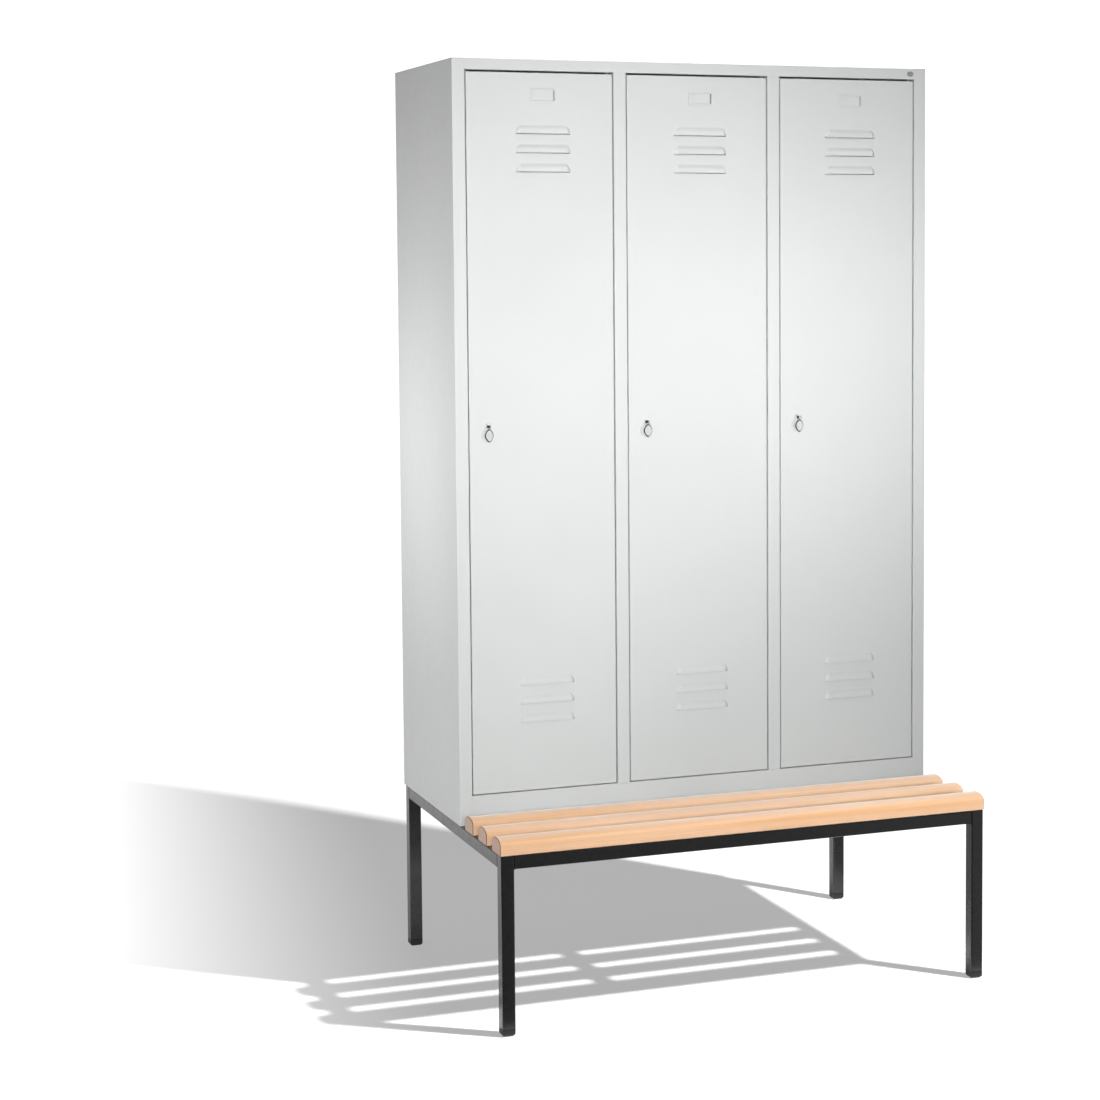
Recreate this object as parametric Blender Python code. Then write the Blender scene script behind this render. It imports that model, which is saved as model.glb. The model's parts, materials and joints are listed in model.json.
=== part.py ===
"""Steel locker with three doors, standing on a tube base that carries a slatted bench.

The frame has +X to the right, +Y to the back and +Z up. Its origin is on the floor,
under the middle of the whole footprint. All sizes are in metres.
"""

import math

import bmesh
import bpy
from mathutils import Matrix, Vector

# Overall sizes
WIDTH = 1.170
CABINET_DEPTH = 0.480
CABINET_HEIGHT = 1.720
BENCH_REACH = 0.302
BASE_HEIGHT = 0.395
COMPARTMENTS = 3

# Clearances
GAP = 0.0003
DOOR_GAP = 0.0035
OVERRUN = 0.004

# Sheet steel
SHEET = 0.001
BEND_RADIUS = 0.0015
BEND_STEPS = 2

# Carcass
STILE = 0.030
STILE_DEPTH = 0.024
STOP_LIP = 0.012
TOP_RAIL = 0.025
CHANNEL_LIP = 0.012
PLINTH = 0.067
PLINTH_RETURN = 0.020
BACK_FLANGE = 0.015
PARTITION_FLANGE = 0.012

# Hat shelf, coat rail and hooks
HAT_SPACE = 0.300
SHELF_SETBACK = 0.006
SHELF_FOLD = 0.020
SHELF_RETURN = 0.012
SHELF_BACK_GAP = 0.002
COAT_RAIL_DROP = 0.072
COAT_RAIL_RADIUS = 0.0095
COAT_RAIL_WALL = 0.0012
HOOKS_PER_RAIL = 3
HOOK_PITCH = 0.100
HOOK_THICKNESS = 0.008
HOOK_RING = 0.003
HOOK_STEM = 0.008
HOOK_DROP = 0.040
HOOK_FLOOR = 0.006
HOOK_SPAN = 0.044
HOOK_ARM = 0.005
HOOK_MOUTH_DEPTH = 0.014
HOOK_MOUTH_RADIUS = 0.005
HOOK_OUTER_RADIUS = 0.010
HOOK_TIP_RADIUS = 0.0024
HOOK_ARC_STEPS = 3
HOOK_RING_STEPS = 12

# Doors
DOOR_DEPTH = 0.018
DOOR_HEM = 0.012
DOOR_CORNER_RADIUS = 0.0015
STIFFENER_WIDTH = 0.050
STIFFENER_BASE = 0.012
STIFFENER_DEPTH = 0.012
STIFFENER_MARGIN = 0.030

# Louvres
LOUVRES_PER_SET = 3
LOUVRE_LENGTH = 0.130
LOUVRE_HEIGHT = 0.020
LOUVRE_PROUD = 0.006
LOUVRE_END = 0.014
LOUVRE_PITCH = 0.0425
LOUVRE_SHIFT = 0.006
LOUVRE_TOP_MARGIN = 0.136
LOUVRE_BOTTOM_MARGIN = 0.156
LOUVRE_SLIT = 0.0006
LOUVRE_ARC_STEPS = 4
LOUVRE_END_SHARES = (0, 0.4, 0.75, 0.97)

# Card holder pressed into each door
CARD_WIDTH = 0.058
CARD_HEIGHT = 0.032
CARD_RIM = 0.005
CARD_PROUD = 0.0012
CARD_RADIUS = 0.002
CARD_TOP_MARGIN = 0.035
CARD_SLOT = 0.0016
CARD_SLOT_MARGIN = 0.0018

# Hinge pins
PIN_RADIUS = 0.0025
PIN_COLLAR_RADIUS = 0.0037
PIN_REACH = 0.007
PIN_EDGE = 0.010
PIN_INSET = 0.008

# Latch
LATCH_INSET = 0.041
LATCH_ABOVE_FLOOR = 0.815
SPINDLE_RADIUS = 0.004
NUT_RADIUS = 0.0065
NUT_THICKNESS = 0.004
CAM_WIDTH = 0.018
CAM_REACH = 0.041
CAM_THICKNESS = 0.0025
CAM_CLEARANCE = 0.0015
ROSETTE_RADIUS = 0.0145
ROSETTE_THICKNESS = 0.0022
ROSETTE_RIM = 0.0012
KNOB_NECK_RADIUS = 0.009
KNOB_NECK = 0.003
KNOB_HALF_WIDTH = 0.0107
KNOB_HALF_HEIGHT = 0.0155
KNOB_PROUD = 0.013
KNOB_EDGE = 0.003
KNOB_POINTEDNESS = 1.3
KNOB_WAIST_SHARE = 0.72
KNOB_CROWN_SHARE = 0.62
EAR_WIDTH = 0.0145
EAR_TOP = 0.0262
EAR_ROOT = 0.009
EAR_THICKNESS = 0.004
EAR_RADIUS = 0.005
EYE_WIDTH = 0.0095
EYE_HEIGHT = 0.006
EYE_CENTRE = 0.0195
EYE_RADIUS = 0.001
SHACKLE_SLOT_MARGIN = 0.0008

# Blank badge on the top rail
BADGE_WIDTH = 0.017
BADGE_HEIGHT = 0.012
BADGE_THICKNESS = 0.0015
BADGE_EDGE = 0.0005
BADGE_FROM_RIGHT = 0.041

# Tube base
TUBE = 0.030
TUBE_WALL = 0.002
TUBE_RADIUS = 0.003
FRAME_SIDE_INSET = 0.002
FRAME_BACK_INSET = 0.008
FOOT_CAP = 0.016
FOOT_STUB = 0.018
FOOT_EDGE = 0.007
FOOT_EDGE_STEPS = 4

# Bench slats
SLATS = 3
SLAT_WIDTH = 0.060
SLAT_HEIGHT = 0.036
SLAT_CROWN = 0.013
SLAT_PITCH = 0.101
SLAT_EDGE = 0.002
SLAT_CROWN_STEPS = 10

# Places worked out from the sizes above
LEFT = -WIDTH / 2
RIGHT = WIDTH / 2
BENCH_FRONT = -(CABINET_DEPTH + BENCH_REACH) / 2
BACK = (CABINET_DEPTH + BENCH_REACH) / 2
FACE = BACK - CABINET_DEPTH
BOTTOM = BASE_HEIGHT + GAP
TOP = BASE_HEIGHT + CABINET_HEIGHT
FLOOR_TOP = BASE_HEIGHT + PLINTH
RAIL_BOTTOM = TOP - TOP_RAIL
ROOF_UNDER = TOP - SHEET
STILE_BACK = FACE + STILE_DEPTH
BACK_PANEL_FRONT = BACK - 2 * SHEET - GAP
DOOR_LOW = FLOOR_TOP + DOOR_GAP
DOOR_HIGH = RAIL_BOTTOM - DOOR_GAP
DOOR_BACK = FACE + DOOR_DEPTH
PIN_Y = FACE + PIN_INSET
LATCH_Z = FLOOR_TOP + LATCH_ABOVE_FLOOR
CAM_FRONT = STILE_BACK + CAM_CLEARANCE
CAM_BACK = CAM_FRONT + CAM_THICKNESS
SHELF_TOP = TOP - HAT_SPACE
COAT_RAIL_Y = FACE + CABINET_DEPTH / 2
COAT_RAIL_Z = SHELF_TOP - COAT_RAIL_DROP
HALF_SHEET = SHEET / 2

# Sides of round pieces, and the bend in degrees past which an edge is shaded sharp
ROUND_SIDES = 16
PIN_SIDES = 10
DISC_SIDES = 24
SMOOTH_ANGLE = 30

# Finishes: colour, roughness, metallic
LIGHT_GREY_PAINT = ((0.70, 0.72, 0.71, 1), 0.42, 0.0)
BLACK_PAINT = ((0.028, 0.030, 0.031, 1), 0.45, 0.0)
BLACK_PLASTIC = ((0.030, 0.030, 0.031, 1), 0.60, 0.0)
BEECH = ((0.80, 0.50, 0.27, 1), 0.45, 0.0)
BRIGHT_STEEL = ((0.62, 0.62, 0.62, 1), 0.28, 1.0)
GREY_PLASTIC = ((0.45, 0.46, 0.47, 1), 0.50, 0.0)


def stile_centre(index):
    """X of the middle of an upright of the front, counted from the left."""
    pitch = (WIDTH - STILE) / COMPARTMENTS
    return LEFT + STILE / 2 + index * pitch


def opening_edges(index):
    """Left and right edge of the doorway of a compartment."""
    return stile_centre(index) + STILE / 2, stile_centre(index + 1) - STILE / 2


def inner_walls(index):
    """Left and right inner wall faces of a compartment."""
    left = LEFT + SHEET if index == 0 else stile_centre(index) + HALF_SHEET
    last = index == COMPARTMENTS - 1
    right = RIGHT - SHEET if last else stile_centre(index + 1) - HALF_SHEET
    return left, right


def make_material(name, finish):
    colour, roughness, metallic = finish
    material = bpy.data.materials.new(name + "_finish")
    material.use_nodes = True
    shader = material.node_tree.nodes["Principled BSDF"]
    shader.inputs["Base Color"].default_value = colour
    shader.inputs["Roughness"].default_value = roughness
    shader.inputs["Metallic"].default_value = metallic
    return material


def shade_by_angle(mesh):
    mesh.shade_smooth()
    mesh.set_sharp_from_angle(angle=math.radians(SMOOTH_ANGLE))


def add_object(name, mesh_data, finish=None, origin=(0, 0, 0), parent=None):
    """Turn a bmesh in world coordinates into an object whose origin is at the given place."""
    bmesh.ops.recalc_face_normals(mesh_data, faces=mesh_data.faces)
    mesh = bpy.data.meshes.new(name)
    mesh_data.to_mesh(mesh)
    mesh_data.free()
    mesh.transform(Matrix.Translation(-Vector(origin)))
    shade_by_angle(mesh)
    thing = bpy.data.objects.new(name, mesh)
    bpy.context.scene.collection.objects.link(thing)
    thing.parent = parent
    parent_place = Vector(parent["world_place"]) if parent else Vector()
    thing.location = Vector(origin) - parent_place
    thing["world_place"] = tuple(origin)
    if finish:
        mesh.materials.append(make_material(name, finish))
    return thing


def add_pivot(name, place):
    """An empty on a joint's axis, which carries the pieces that turn about it."""
    pivot = bpy.data.objects.new(name, None)
    bpy.context.scene.collection.objects.link(pivot)
    pivot.location = place
    pivot["world_place"] = tuple(place)
    return pivot


def combine(target, tool_mesh, operation, name):
    """Apply a Boolean to an object, so that its new edges are shaded like the others."""
    tool = add_object(name, tool_mesh, origin=target["world_place"], parent=target)
    modifier = target.modifiers.new(name, "BOOLEAN")
    modifier.operation = operation
    modifier.solver = "EXACT"
    modifier.object = tool
    bpy.context.view_layer.update()
    evaluated = target.evaluated_get(bpy.context.evaluated_depsgraph_get())
    plain = target.data
    target.data = bpy.data.meshes.new_from_object(evaluated)
    target.modifiers.remove(modifier)
    bpy.data.objects.remove(tool)
    bpy.data.meshes.remove(plain)
    target.data.name = target.name
    shade_by_angle(target.data)


def cut(target, tool_mesh, name):
    combine(target, tool_mesh, "DIFFERENCE", name)


def unite(target, tool_mesh, name):
    combine(target, tool_mesh, "UNION", name)


def rounded(points, radii, steps):
    """Replace each corner of a closed outline by an arc of its own radius."""
    outline = []
    count = len(points)
    for index in range(count):
        corner = Vector(points[index])
        radius = radii[index]
        if radius == 0:
            outline.append(corner)
            continue
        to_before = (Vector(points[index - 1]) - corner).normalized()
        to_after = (Vector(points[(index + 1) % count]) - corner).normalized()
        half_angle = to_before.angle(to_after) / 2
        centre = corner + (to_before + to_after).normalized() * radius / math.sin(half_angle)
        start = corner + to_before * radius / math.tan(half_angle) - centre
        end = corner + to_after * radius / math.tan(half_angle) - centre
        sweep = math.atan2(start.x * end.y - start.y * end.x, start.dot(end))
        for step in range(steps + 1):
            outline.append(centre + Matrix.Rotation(sweep * step / steps, 2) @ start)
    return outline


def folded(path):
    """Outline of a folded sheet whose middle line follows the path."""
    points = [Vector(point) for point in path]
    last = len(points) - 1
    sides = {1: [], -1: []}
    radii = {1: [], -1: []}
    for index, point in enumerate(points):
        heading_in = (point - points[max(index - 1, 0)]).normalized()
        heading_out = (points[min(index + 1, last)] - point).normalized()
        heading_in = heading_in if index > 0 else heading_out
        heading_out = heading_out if index < last else heading_in
        normal_in = Vector((-heading_in.y, heading_in.x))
        normal_out = Vector((-heading_out.y, heading_out.x))
        mitre = (normal_in + normal_out).normalized()
        reach = HALF_SHEET / mitre.dot(normal_in)
        turn = heading_in.x * heading_out.y - heading_in.y * heading_out.x
        for side in (1, -1):
            sides[side].append(point + mitre * reach * side)
            inner = turn * side > 0
            radius = BEND_RADIUS - SHEET if inner else BEND_RADIUS
            radii[side].append(radius if 0 < index < last else 0)
    outline = sides[1] + sides[-1][::-1]
    return rounded(outline, radii[1] + radii[-1][::-1], BEND_STEPS)


def rectangle(low_u, high_u, low_v, high_v):
    return [(low_u, low_v), (high_u, low_v), (high_u, high_v), (low_u, high_v)]


def rounded_rectangle(low_u, high_u, low_v, high_v, radius, steps=2):
    corners = rectangle(low_u, high_u, low_v, high_v)
    return rounded(corners, [radius] * len(corners), steps)


def circle(radius, count, centre=(0, 0)):
    angles = [2 * math.pi * index / count for index in range(count)]
    return [(centre[0] + radius * math.cos(a), centre[1] + radius * math.sin(a)) for a in angles]


def to_space(axis, u, v, along):
    """Place a point of an outline's plane in space; the outline is pushed along the axis."""
    return {"X": (along, u, v), "Y": (u, along, v), "Z": (u, v, along)}[axis]


def extrude_into(mesh_data, axis, outline, low, high, holes=()):
    """Add a prism of an outline, less its holes, to a bmesh."""
    edges = []
    for loop in [outline, *holes]:
        verts = [mesh_data.verts.new(to_space(axis, u, v, low)) for u, v in loop]
        pairs = zip(verts, verts[1:] + verts[:1])
        edges += [mesh_data.edges.new(pair) for pair in pairs]
    if holes:
        filled = bmesh.ops.triangle_fill(mesh_data, use_beauty=True, edges=edges)
        faces = [item for item in filled["geom"] if isinstance(item, bmesh.types.BMFace)]
    else:
        faces = [mesh_data.faces.new(verts)]
    pushed = bmesh.ops.extrude_face_region(mesh_data, geom=faces)
    moved = [item for item in pushed["geom"] if isinstance(item, bmesh.types.BMVert)]
    bmesh.ops.translate(mesh_data, verts=moved, vec=to_space(axis, 0, 0, high - low))


def extrusion(axis, outline, low, high, holes=()):
    mesh_data = bmesh.new()
    extrude_into(mesh_data, axis, outline, low, high, holes)
    return mesh_data


def boxes(extents):
    """Separate boxes in one bmesh, each given by its low and high X, Y and Z."""
    mesh_data = bmesh.new()
    for low_x, high_x, low_y, high_y, low_z, high_z in extents:
        extrude_into(mesh_data, "Z", rectangle(low_x, high_x, low_y, high_y), low_z, high_z)
    return mesh_data


def bridge(mesh_data, lower, upper):
    """Join two closed loops of vertices by a band of four-sided faces."""
    count = len(lower)
    for index in range(count):
        following = (index + 1) % count
        mesh_data.faces.new((lower[index], lower[following], upper[following], upper[index]))


def loft_into(mesh_data, rings):
    """Add a solid skinned over closed rings of equal point counts, with its ends filled."""
    loops = [[mesh_data.verts.new(point) for point in ring] for ring in rings]
    for lower, upper in zip(loops, loops[1:]):
        bridge(mesh_data, lower, upper)
    mesh_data.faces.new(loops[0])
    mesh_data.faces.new(loops[-1])


def loft(rings):
    mesh_data = bmesh.new()
    loft_into(mesh_data, rings)
    return mesh_data


def turned(axis, profile, centre, count):
    """A solid of revolution from pairs of radius and place along the axis."""
    rings = []
    for radius, along in profile:
        rings.append([to_space(axis, u, v, along) for u, v in circle(radius, count, centre)])
    return loft(rings)


def tube_outlines(low_u, high_u, low_v, high_v):
    """Outer and inner outline of the square tube of the base."""
    outer = rounded_rectangle(low_u, high_u, low_v, high_v, TUBE_RADIUS)
    inner = rounded_rectangle(
        low_u + TUBE_WALL,
        high_u - TUBE_WALL,
        low_v + TUBE_WALL,
        high_v - TUBE_WALL,
        TUBE_RADIUS - TUBE_WALL,
        steps=1,
    )
    return outer, inner


def add_tube(name, axis, low_u, low_v, low, high):
    outer, inner = tube_outlines(low_u, low_u + TUBE, low_v, low_v + TUBE)
    add_object(name, extrusion(axis, outer, low, high, [inner]), BLACK_PAINT)


def build_base():
    """Four legs and five rails of square tube, with a cap under each leg."""
    left = LEFT + FRAME_SIDE_INSET
    right = RIGHT - FRAME_SIDE_INSET
    back = BACK - FRAME_BACK_INSET
    rail_low = BASE_HEIGHT - TUBE
    leg_places = {
        "front_left": (left, BENCH_FRONT),
        "front_right": (right - TUBE, BENCH_FRONT),
        "back_left": (left, back - TUBE),
        "back_right": (right - TUBE, back - TUBE),
    }
    for corner, (leg_x, leg_y) in leg_places.items():
        add_tube("leg_" + corner, "Z", leg_x, leg_y, FOOT_CAP + GAP, BASE_HEIGHT)
        build_foot_cap("foot_cap_" + corner, leg_x + TUBE / 2, leg_y + TUBE / 2)
    cross_low = left + TUBE + GAP
    cross_high = right - TUBE - GAP
    add_tube("rail_front", "X", BENCH_FRONT, rail_low, cross_low, cross_high)
    add_tube("rail_back", "X", back - TUBE, rail_low, cross_low, cross_high)
    deep_low = BENCH_FRONT + TUBE + GAP
    deep_high = back - TUBE - GAP
    add_tube("rail_left", "Y", left, rail_low, deep_low, deep_high)
    add_tube("rail_right", "Y", right - TUBE, rail_low, deep_low, deep_high)
    add_tube("rail_middle", "Y", -TUBE / 2, rail_low, deep_low, deep_high)


def build_foot_cap(name, centre_x, centre_y):
    """A plastic cap with a rounded sole and a stub that plugs into the leg."""

    def ring(half, radius, height):
        outline = rounded_rectangle(
            centre_x - half, centre_x + half, centre_y - half, centre_y + half, radius
        )
        return [(u, v, height) for u, v in outline]

    rings = []
    for step in range(FOOT_EDGE_STEPS + 1):
        angle = math.pi / 2 * step / FOOT_EDGE_STEPS
        half = TUBE / 2 - FOOT_EDGE * (1 - math.sin(angle))
        rings.append(ring(half, TUBE_RADIUS, FOOT_EDGE * (1 - math.cos(angle))))
    rings.append(ring(TUBE / 2, TUBE_RADIUS, FOOT_CAP))
    stub_half = TUBE / 2 - TUBE_WALL - GAP
    stub_radius = TUBE_RADIUS - TUBE_WALL
    rings.append(ring(stub_half, stub_radius, FOOT_CAP))
    rings.append(ring(stub_half, stub_radius, FOOT_CAP + FOOT_STUB))
    add_object(name, loft(rings), BLACK_PLASTIC)


def slat_outline(front):
    """Flat under side, upright edges and a crowned top, drawn in Y and Z."""
    low = BASE_HEIGHT + GAP
    shoulder = low + SLAT_HEIGHT - SLAT_CROWN
    middle = front + SLAT_WIDTH / 2
    outline = [
        (front, low + SLAT_EDGE),
        (front + SLAT_EDGE, low),
        (front + SLAT_WIDTH - SLAT_EDGE, low),
        (front + SLAT_WIDTH, low + SLAT_EDGE),
    ]
    for step in range(SLAT_CROWN_STEPS + 1):
        angle = math.pi * step / SLAT_CROWN_STEPS
        across = middle + SLAT_WIDTH / 2 * math.cos(angle)
        outline.append((across, shoulder + SLAT_CROWN * math.sin(angle)))
    return outline


def build_bench():
    names = ("slat_front", "slat_middle", "slat_rear")
    for index in range(SLATS):
        outline = slat_outline(BENCH_FRONT + index * SLAT_PITCH)
        add_object(names[index], extrusion("X", outline, LEFT, RIGHT), BEECH)


def side_outline(lip_end):
    """Plan of the left side: back flange, wall, stile, return and an inner lip."""
    wall = LEFT + HALF_SHEET
    inner = LEFT + STILE - HALF_SHEET
    return [
        (LEFT + BACK_FLANGE, BACK - HALF_SHEET),
        (wall, BACK - HALF_SHEET),
        (wall, FACE + HALF_SHEET),
        (inner, FACE + HALF_SHEET),
        (inner, STILE_BACK - HALF_SHEET),
        (lip_end, STILE_BACK - HALF_SHEET),
    ]


def build_sides():
    """The left side has a door stop on its stile; the right one has a plain inward hem."""
    high = ROOF_UNDER - GAP
    stop_path = side_outline(LEFT + STILE + STOP_LIP)
    shape = extrusion("Z", folded(stop_path), BOTTOM, high)
    left = add_object("side_left", shape, LIGHT_GREY_PAINT)
    lip_cut = (LEFT + STILE, LEFT + STILE + STOP_LIP + OVERRUN)
    depth_cut = (STILE_BACK - SHEET - OVERRUN, STILE_BACK + OVERRUN)
    low_cut = (BOTTOM - OVERRUN, FLOOR_TOP + GAP)
    high_cut = (RAIL_BOTTOM - GAP, high + OVERRUN)
    ends = boxes([(*lip_cut, *depth_cut, *low_cut), (*lip_cut, *depth_cut, *high_cut)])
    cut(left, ends, "side_left_lip_ends")
    hem_path = side_outline(LEFT + STILE - STOP_LIP)
    mirrored = [(-x, y) for x, y in hem_path]
    shape = extrusion("Z", folded(mirrored), BOTTOM, high)
    add_object("side_right", shape, LIGHT_GREY_PAINT)


def partition_outline(centre):
    """Plan of a partition: a hat-shaped stile with a door stop, a wall and a back flange."""
    left = centre - STILE / 2
    right = centre + STILE / 2
    wall_left = centre - HALF_SHEET
    wall_right = centre + HALF_SHEET
    wall_back = BACK_PANEL_FRONT - GAP
    inner = BEND_RADIUS - SHEET
    corners = [
        (left, FACE, BEND_RADIUS),
        (right, FACE, BEND_RADIUS),
        (right, STILE_BACK - SHEET, inner),
        (right + STOP_LIP, STILE_BACK - SHEET, 0),
        (right + STOP_LIP, STILE_BACK, 0),
        (right - SHEET, STILE_BACK, BEND_RADIUS),
        (right - SHEET, FACE + SHEET, inner),
        (wall_right, FACE + SHEET, 0),
        (wall_right, wall_back - SHEET, inner),
        (wall_right + PARTITION_FLANGE, wall_back - SHEET, 0),
        (wall_right + PARTITION_FLANGE, wall_back, 0),
        (wall_left, wall_back, BEND_RADIUS),
        (wall_left, FACE + SHEET, 0),
        (left + SHEET, FACE + SHEET, inner),
        (left + SHEET, STILE_BACK, 0),
        (left, STILE_BACK, 0),
    ]
    points = [(x, y) for x, y, _ in corners]
    return rounded(points, [radius for _, _, radius in corners], BEND_STEPS)


def build_partitions():
    high = ROOF_UNDER - GAP
    for index in range(1, COMPARTMENTS):
        centre = stile_centre(index)
        name = ("partition_left", "partition_right")[index - 1]
        shape = extrusion("Z", partition_outline(centre), FLOOR_TOP + GAP, high)
        partition = add_object(name, shape, LIGHT_GREY_PAINT)
        half = STILE / 2 + STOP_LIP + OVERRUN
        notch = (
            centre - half,
            centre + half,
            FACE - OVERRUN,
            STILE_BACK + GAP,
            RAIL_BOTTOM - GAP,
            high + OVERRUN,
        )
        cut(partition, boxes([notch]), name + "_rail_notch")


def corner_notches(low_z, high_z, back_low_z, back_high_z):
    """Boxes that clear the stiles in front and the flanges of the sides at the back."""
    extents = []
    for edge, inward in ((LEFT, 1), (RIGHT, -1)):
        front_x = sorted((edge - inward * OVERRUN, edge + inward * (STILE + GAP)))
        back_x = sorted((edge - inward * OVERRUN, edge + inward * (BACK_FLANGE + GAP)))
        front_y = (FACE - OVERRUN, STILE_BACK + GAP)
        back_y = (BACK - SHEET - GAP, BACK + OVERRUN)
        extents.append((*front_x, *front_y, low_z, high_z))
        extents.append((*back_x, *back_y, back_low_z, back_high_z))
    return boxes(extents)


def pin_places():
    """X of the hinge pins, one pair at the right edge of each door."""
    return [opening_edges(index)[1] - DOOR_GAP - PIN_EDGE for index in range(COMPARTMENTS)]


def pin_holes(low_z, high_z):
    mesh_data = bmesh.new()
    for pin_x in pin_places():
        outline = circle(PIN_RADIUS + GAP, PIN_SIDES, (pin_x, PIN_Y))
        extrude_into(mesh_data, "Z", outline, low_z, high_z)
    return mesh_data


def build_floor():
    """Floor plate with the plinth folded down in front and a flange up at the back."""
    path = [
        (FACE + PLINTH_RETURN, BOTTOM + HALF_SHEET),
        (FACE + HALF_SHEET, BOTTOM + HALF_SHEET),
        (FACE + HALF_SHEET, FLOOR_TOP - HALF_SHEET),
        (BACK - HALF_SHEET, FLOOR_TOP - HALF_SHEET),
        (BACK - HALF_SHEET, FLOOR_TOP + BACK_FLANGE),
    ]
    shape = extrusion("X", folded(path), LEFT + SHEET + GAP, RIGHT - SHEET - GAP)
    floor = add_object("floor_panel", shape, LIGHT_GREY_PAINT)
    low = BOTTOM - OVERRUN
    high = FLOOR_TOP + BACK_FLANGE + OVERRUN
    cut(floor, corner_notches(low, high, low, high), "floor_corner_notches")
    cut(floor, pin_holes(FLOOR_TOP - SHEET - OVERRUN, FLOOR_TOP + OVERRUN), "floor_pin_holes")


def build_roof():
    """Roof plate with the top rail folded down in front as a channel, and a back flange."""
    path = [
        (STILE_BACK - HALF_SHEET, RAIL_BOTTOM + CHANNEL_LIP),
        (STILE_BACK - HALF_SHEET, RAIL_BOTTOM + HALF_SHEET),
        (FACE + HALF_SHEET, RAIL_BOTTOM + HALF_SHEET),
        (FACE + HALF_SHEET, TOP - HALF_SHEET),
        (BACK - HALF_SHEET, TOP - HALF_SHEET),
        (BACK - HALF_SHEET, TOP - BACK_FLANGE),
    ]
    roof = add_object("roof_panel", extrusion("X", folded(path), LEFT, RIGHT), LIGHT_GREY_PAINT)
    low = RAIL_BOTTOM - OVERRUN
    notches = corner_notches(low, ROOF_UNDER, TOP - BACK_FLANGE - OVERRUN, ROOF_UNDER)
    cut(roof, notches, "roof_corner_notches")
    holes = pin_holes(RAIL_BOTTOM - OVERRUN, RAIL_BOTTOM + SHEET + OVERRUN)
    cut(roof, holes, "roof_pin_holes")


def build_back():
    low_x = LEFT + SHEET + GAP
    plate = rectangle(low_x, -low_x, FLOOR_TOP + GAP, ROOF_UNDER - GAP)
    shape = extrusion("Y", plate, BACK_PANEL_FRONT, BACK_PANEL_FRONT + SHEET)
    add_object("back_panel", shape, LIGHT_GREY_PAINT)


def build_shelf(index):
    """Hat shelf with a boxed front edge and a fold down at the back."""
    front = STILE_BACK + SHELF_SETBACK
    back = BACK_PANEL_FRONT - GAP - SHEET - SHELF_BACK_GAP
    path = [
        (front + SHELF_RETURN, SHELF_TOP - SHELF_FOLD + HALF_SHEET),
        (front + HALF_SHEET, SHELF_TOP - SHELF_FOLD + HALF_SHEET),
        (front + HALF_SHEET, SHELF_TOP - HALF_SHEET),
        (back - HALF_SHEET, SHELF_TOP - HALF_SHEET),
        (back - HALF_SHEET, SHELF_TOP - SHELF_FOLD),
    ]
    left, right = inner_walls(index)
    shape = extrusion("X", folded(path), left + GAP, right - GAP)
    add_object(f"hat_shelf_{index + 1}", shape, LIGHT_GREY_PAINT)


def build_coat_rail(index):
    left, right = inner_walls(index)
    place = (COAT_RAIL_Y, COAT_RAIL_Z)
    outer = circle(COAT_RAIL_RADIUS, ROUND_SIDES, place)
    inner = circle(COAT_RAIL_RADIUS - COAT_RAIL_WALL, ROUND_SIDES, place)
    shape = extrusion("X", outer, left + GAP, right - GAP, [inner])
    add_object(f"coat_rail_{index + 1}", shape, BRIGHT_STEEL)


def hook_outline():
    """Side view of a double hook round its rail: ring, stem and two upturned arms."""
    ring = COAT_RAIL_RADIUS + GAP + HOOK_RING
    half_stem = HOOK_STEM / 2
    join = math.acos(half_stem / ring)
    sweep = math.pi + 2 * join
    outline = []
    for step in range(HOOK_RING_STEPS + 1):
        angle = sweep * step / HOOK_RING_STEPS - join
        outline.append((ring * math.cos(angle), ring * math.sin(angle)))
    half = HOOK_SPAN / 2
    mouth = -HOOK_DROP
    tip = mouth + HOOK_MOUTH_DEPTH
    sole = mouth - HOOK_FLOOR
    right_half = [
        (half, sole, HOOK_OUTER_RADIUS),
        (half, tip, HOOK_TIP_RADIUS),
        (half - HOOK_ARM, tip, HOOK_TIP_RADIUS),
        (half - HOOK_ARM, mouth, HOOK_MOUTH_RADIUS),
        (half_stem, mouth, HOOK_MOUTH_RADIUS),
    ]
    left_half = [(-u, v, radius) for u, v, radius in reversed(right_half)]
    corners = [(u, v, 0) for u, v in outline] + left_half + right_half
    points = [(u, v) for u, v, _ in corners]
    return rounded(points, [radius for _, _, radius in corners], HOOK_ARC_STEPS)


def build_hooks(index):
    left, right = inner_walls(index)
    middle = (left + right) / 2
    outline = [(COAT_RAIL_Y + u, COAT_RAIL_Z + v) for u, v in hook_outline()]
    bore = circle(COAT_RAIL_RADIUS + GAP, ROUND_SIDES, (COAT_RAIL_Y, COAT_RAIL_Z))
    for place in range(HOOKS_PER_RAIL):
        hook_x = middle + (place - (HOOKS_PER_RAIL - 1) / 2) * HOOK_PITCH
        low = hook_x - HOOK_THICKNESS / 2
        shape = extrusion("X", outline, low, low + HOOK_THICKNESS, [bore])
        name = f"hook_{index + 1}_{place + 1}"
        add_object(name, shape, GREY_PLASTIC, origin=(hook_x, COAT_RAIL_Y, COAT_RAIL_Z))


def louvre_ring(place, edge_z, swell, inset, back_y, low_z):
    """One cross-section of a louvre hood; the swell is 1 where it stands full out."""
    height = LOUVRE_HEIGHT * swell - inset
    proud = (LOUVRE_PROUD - inset) * swell
    ring = [(place, back_y, low_z), (place, FACE - proud, low_z)]
    for step in range(1, LOUVRE_ARC_STEPS + 1):
        angle = math.pi / 2 * step / LOUVRE_ARC_STEPS
        ring.append((place, FACE - proud * math.cos(angle), edge_z + height * math.sin(angle)))
    ring.append((place, back_y, edge_z + height))
    return ring


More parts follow.
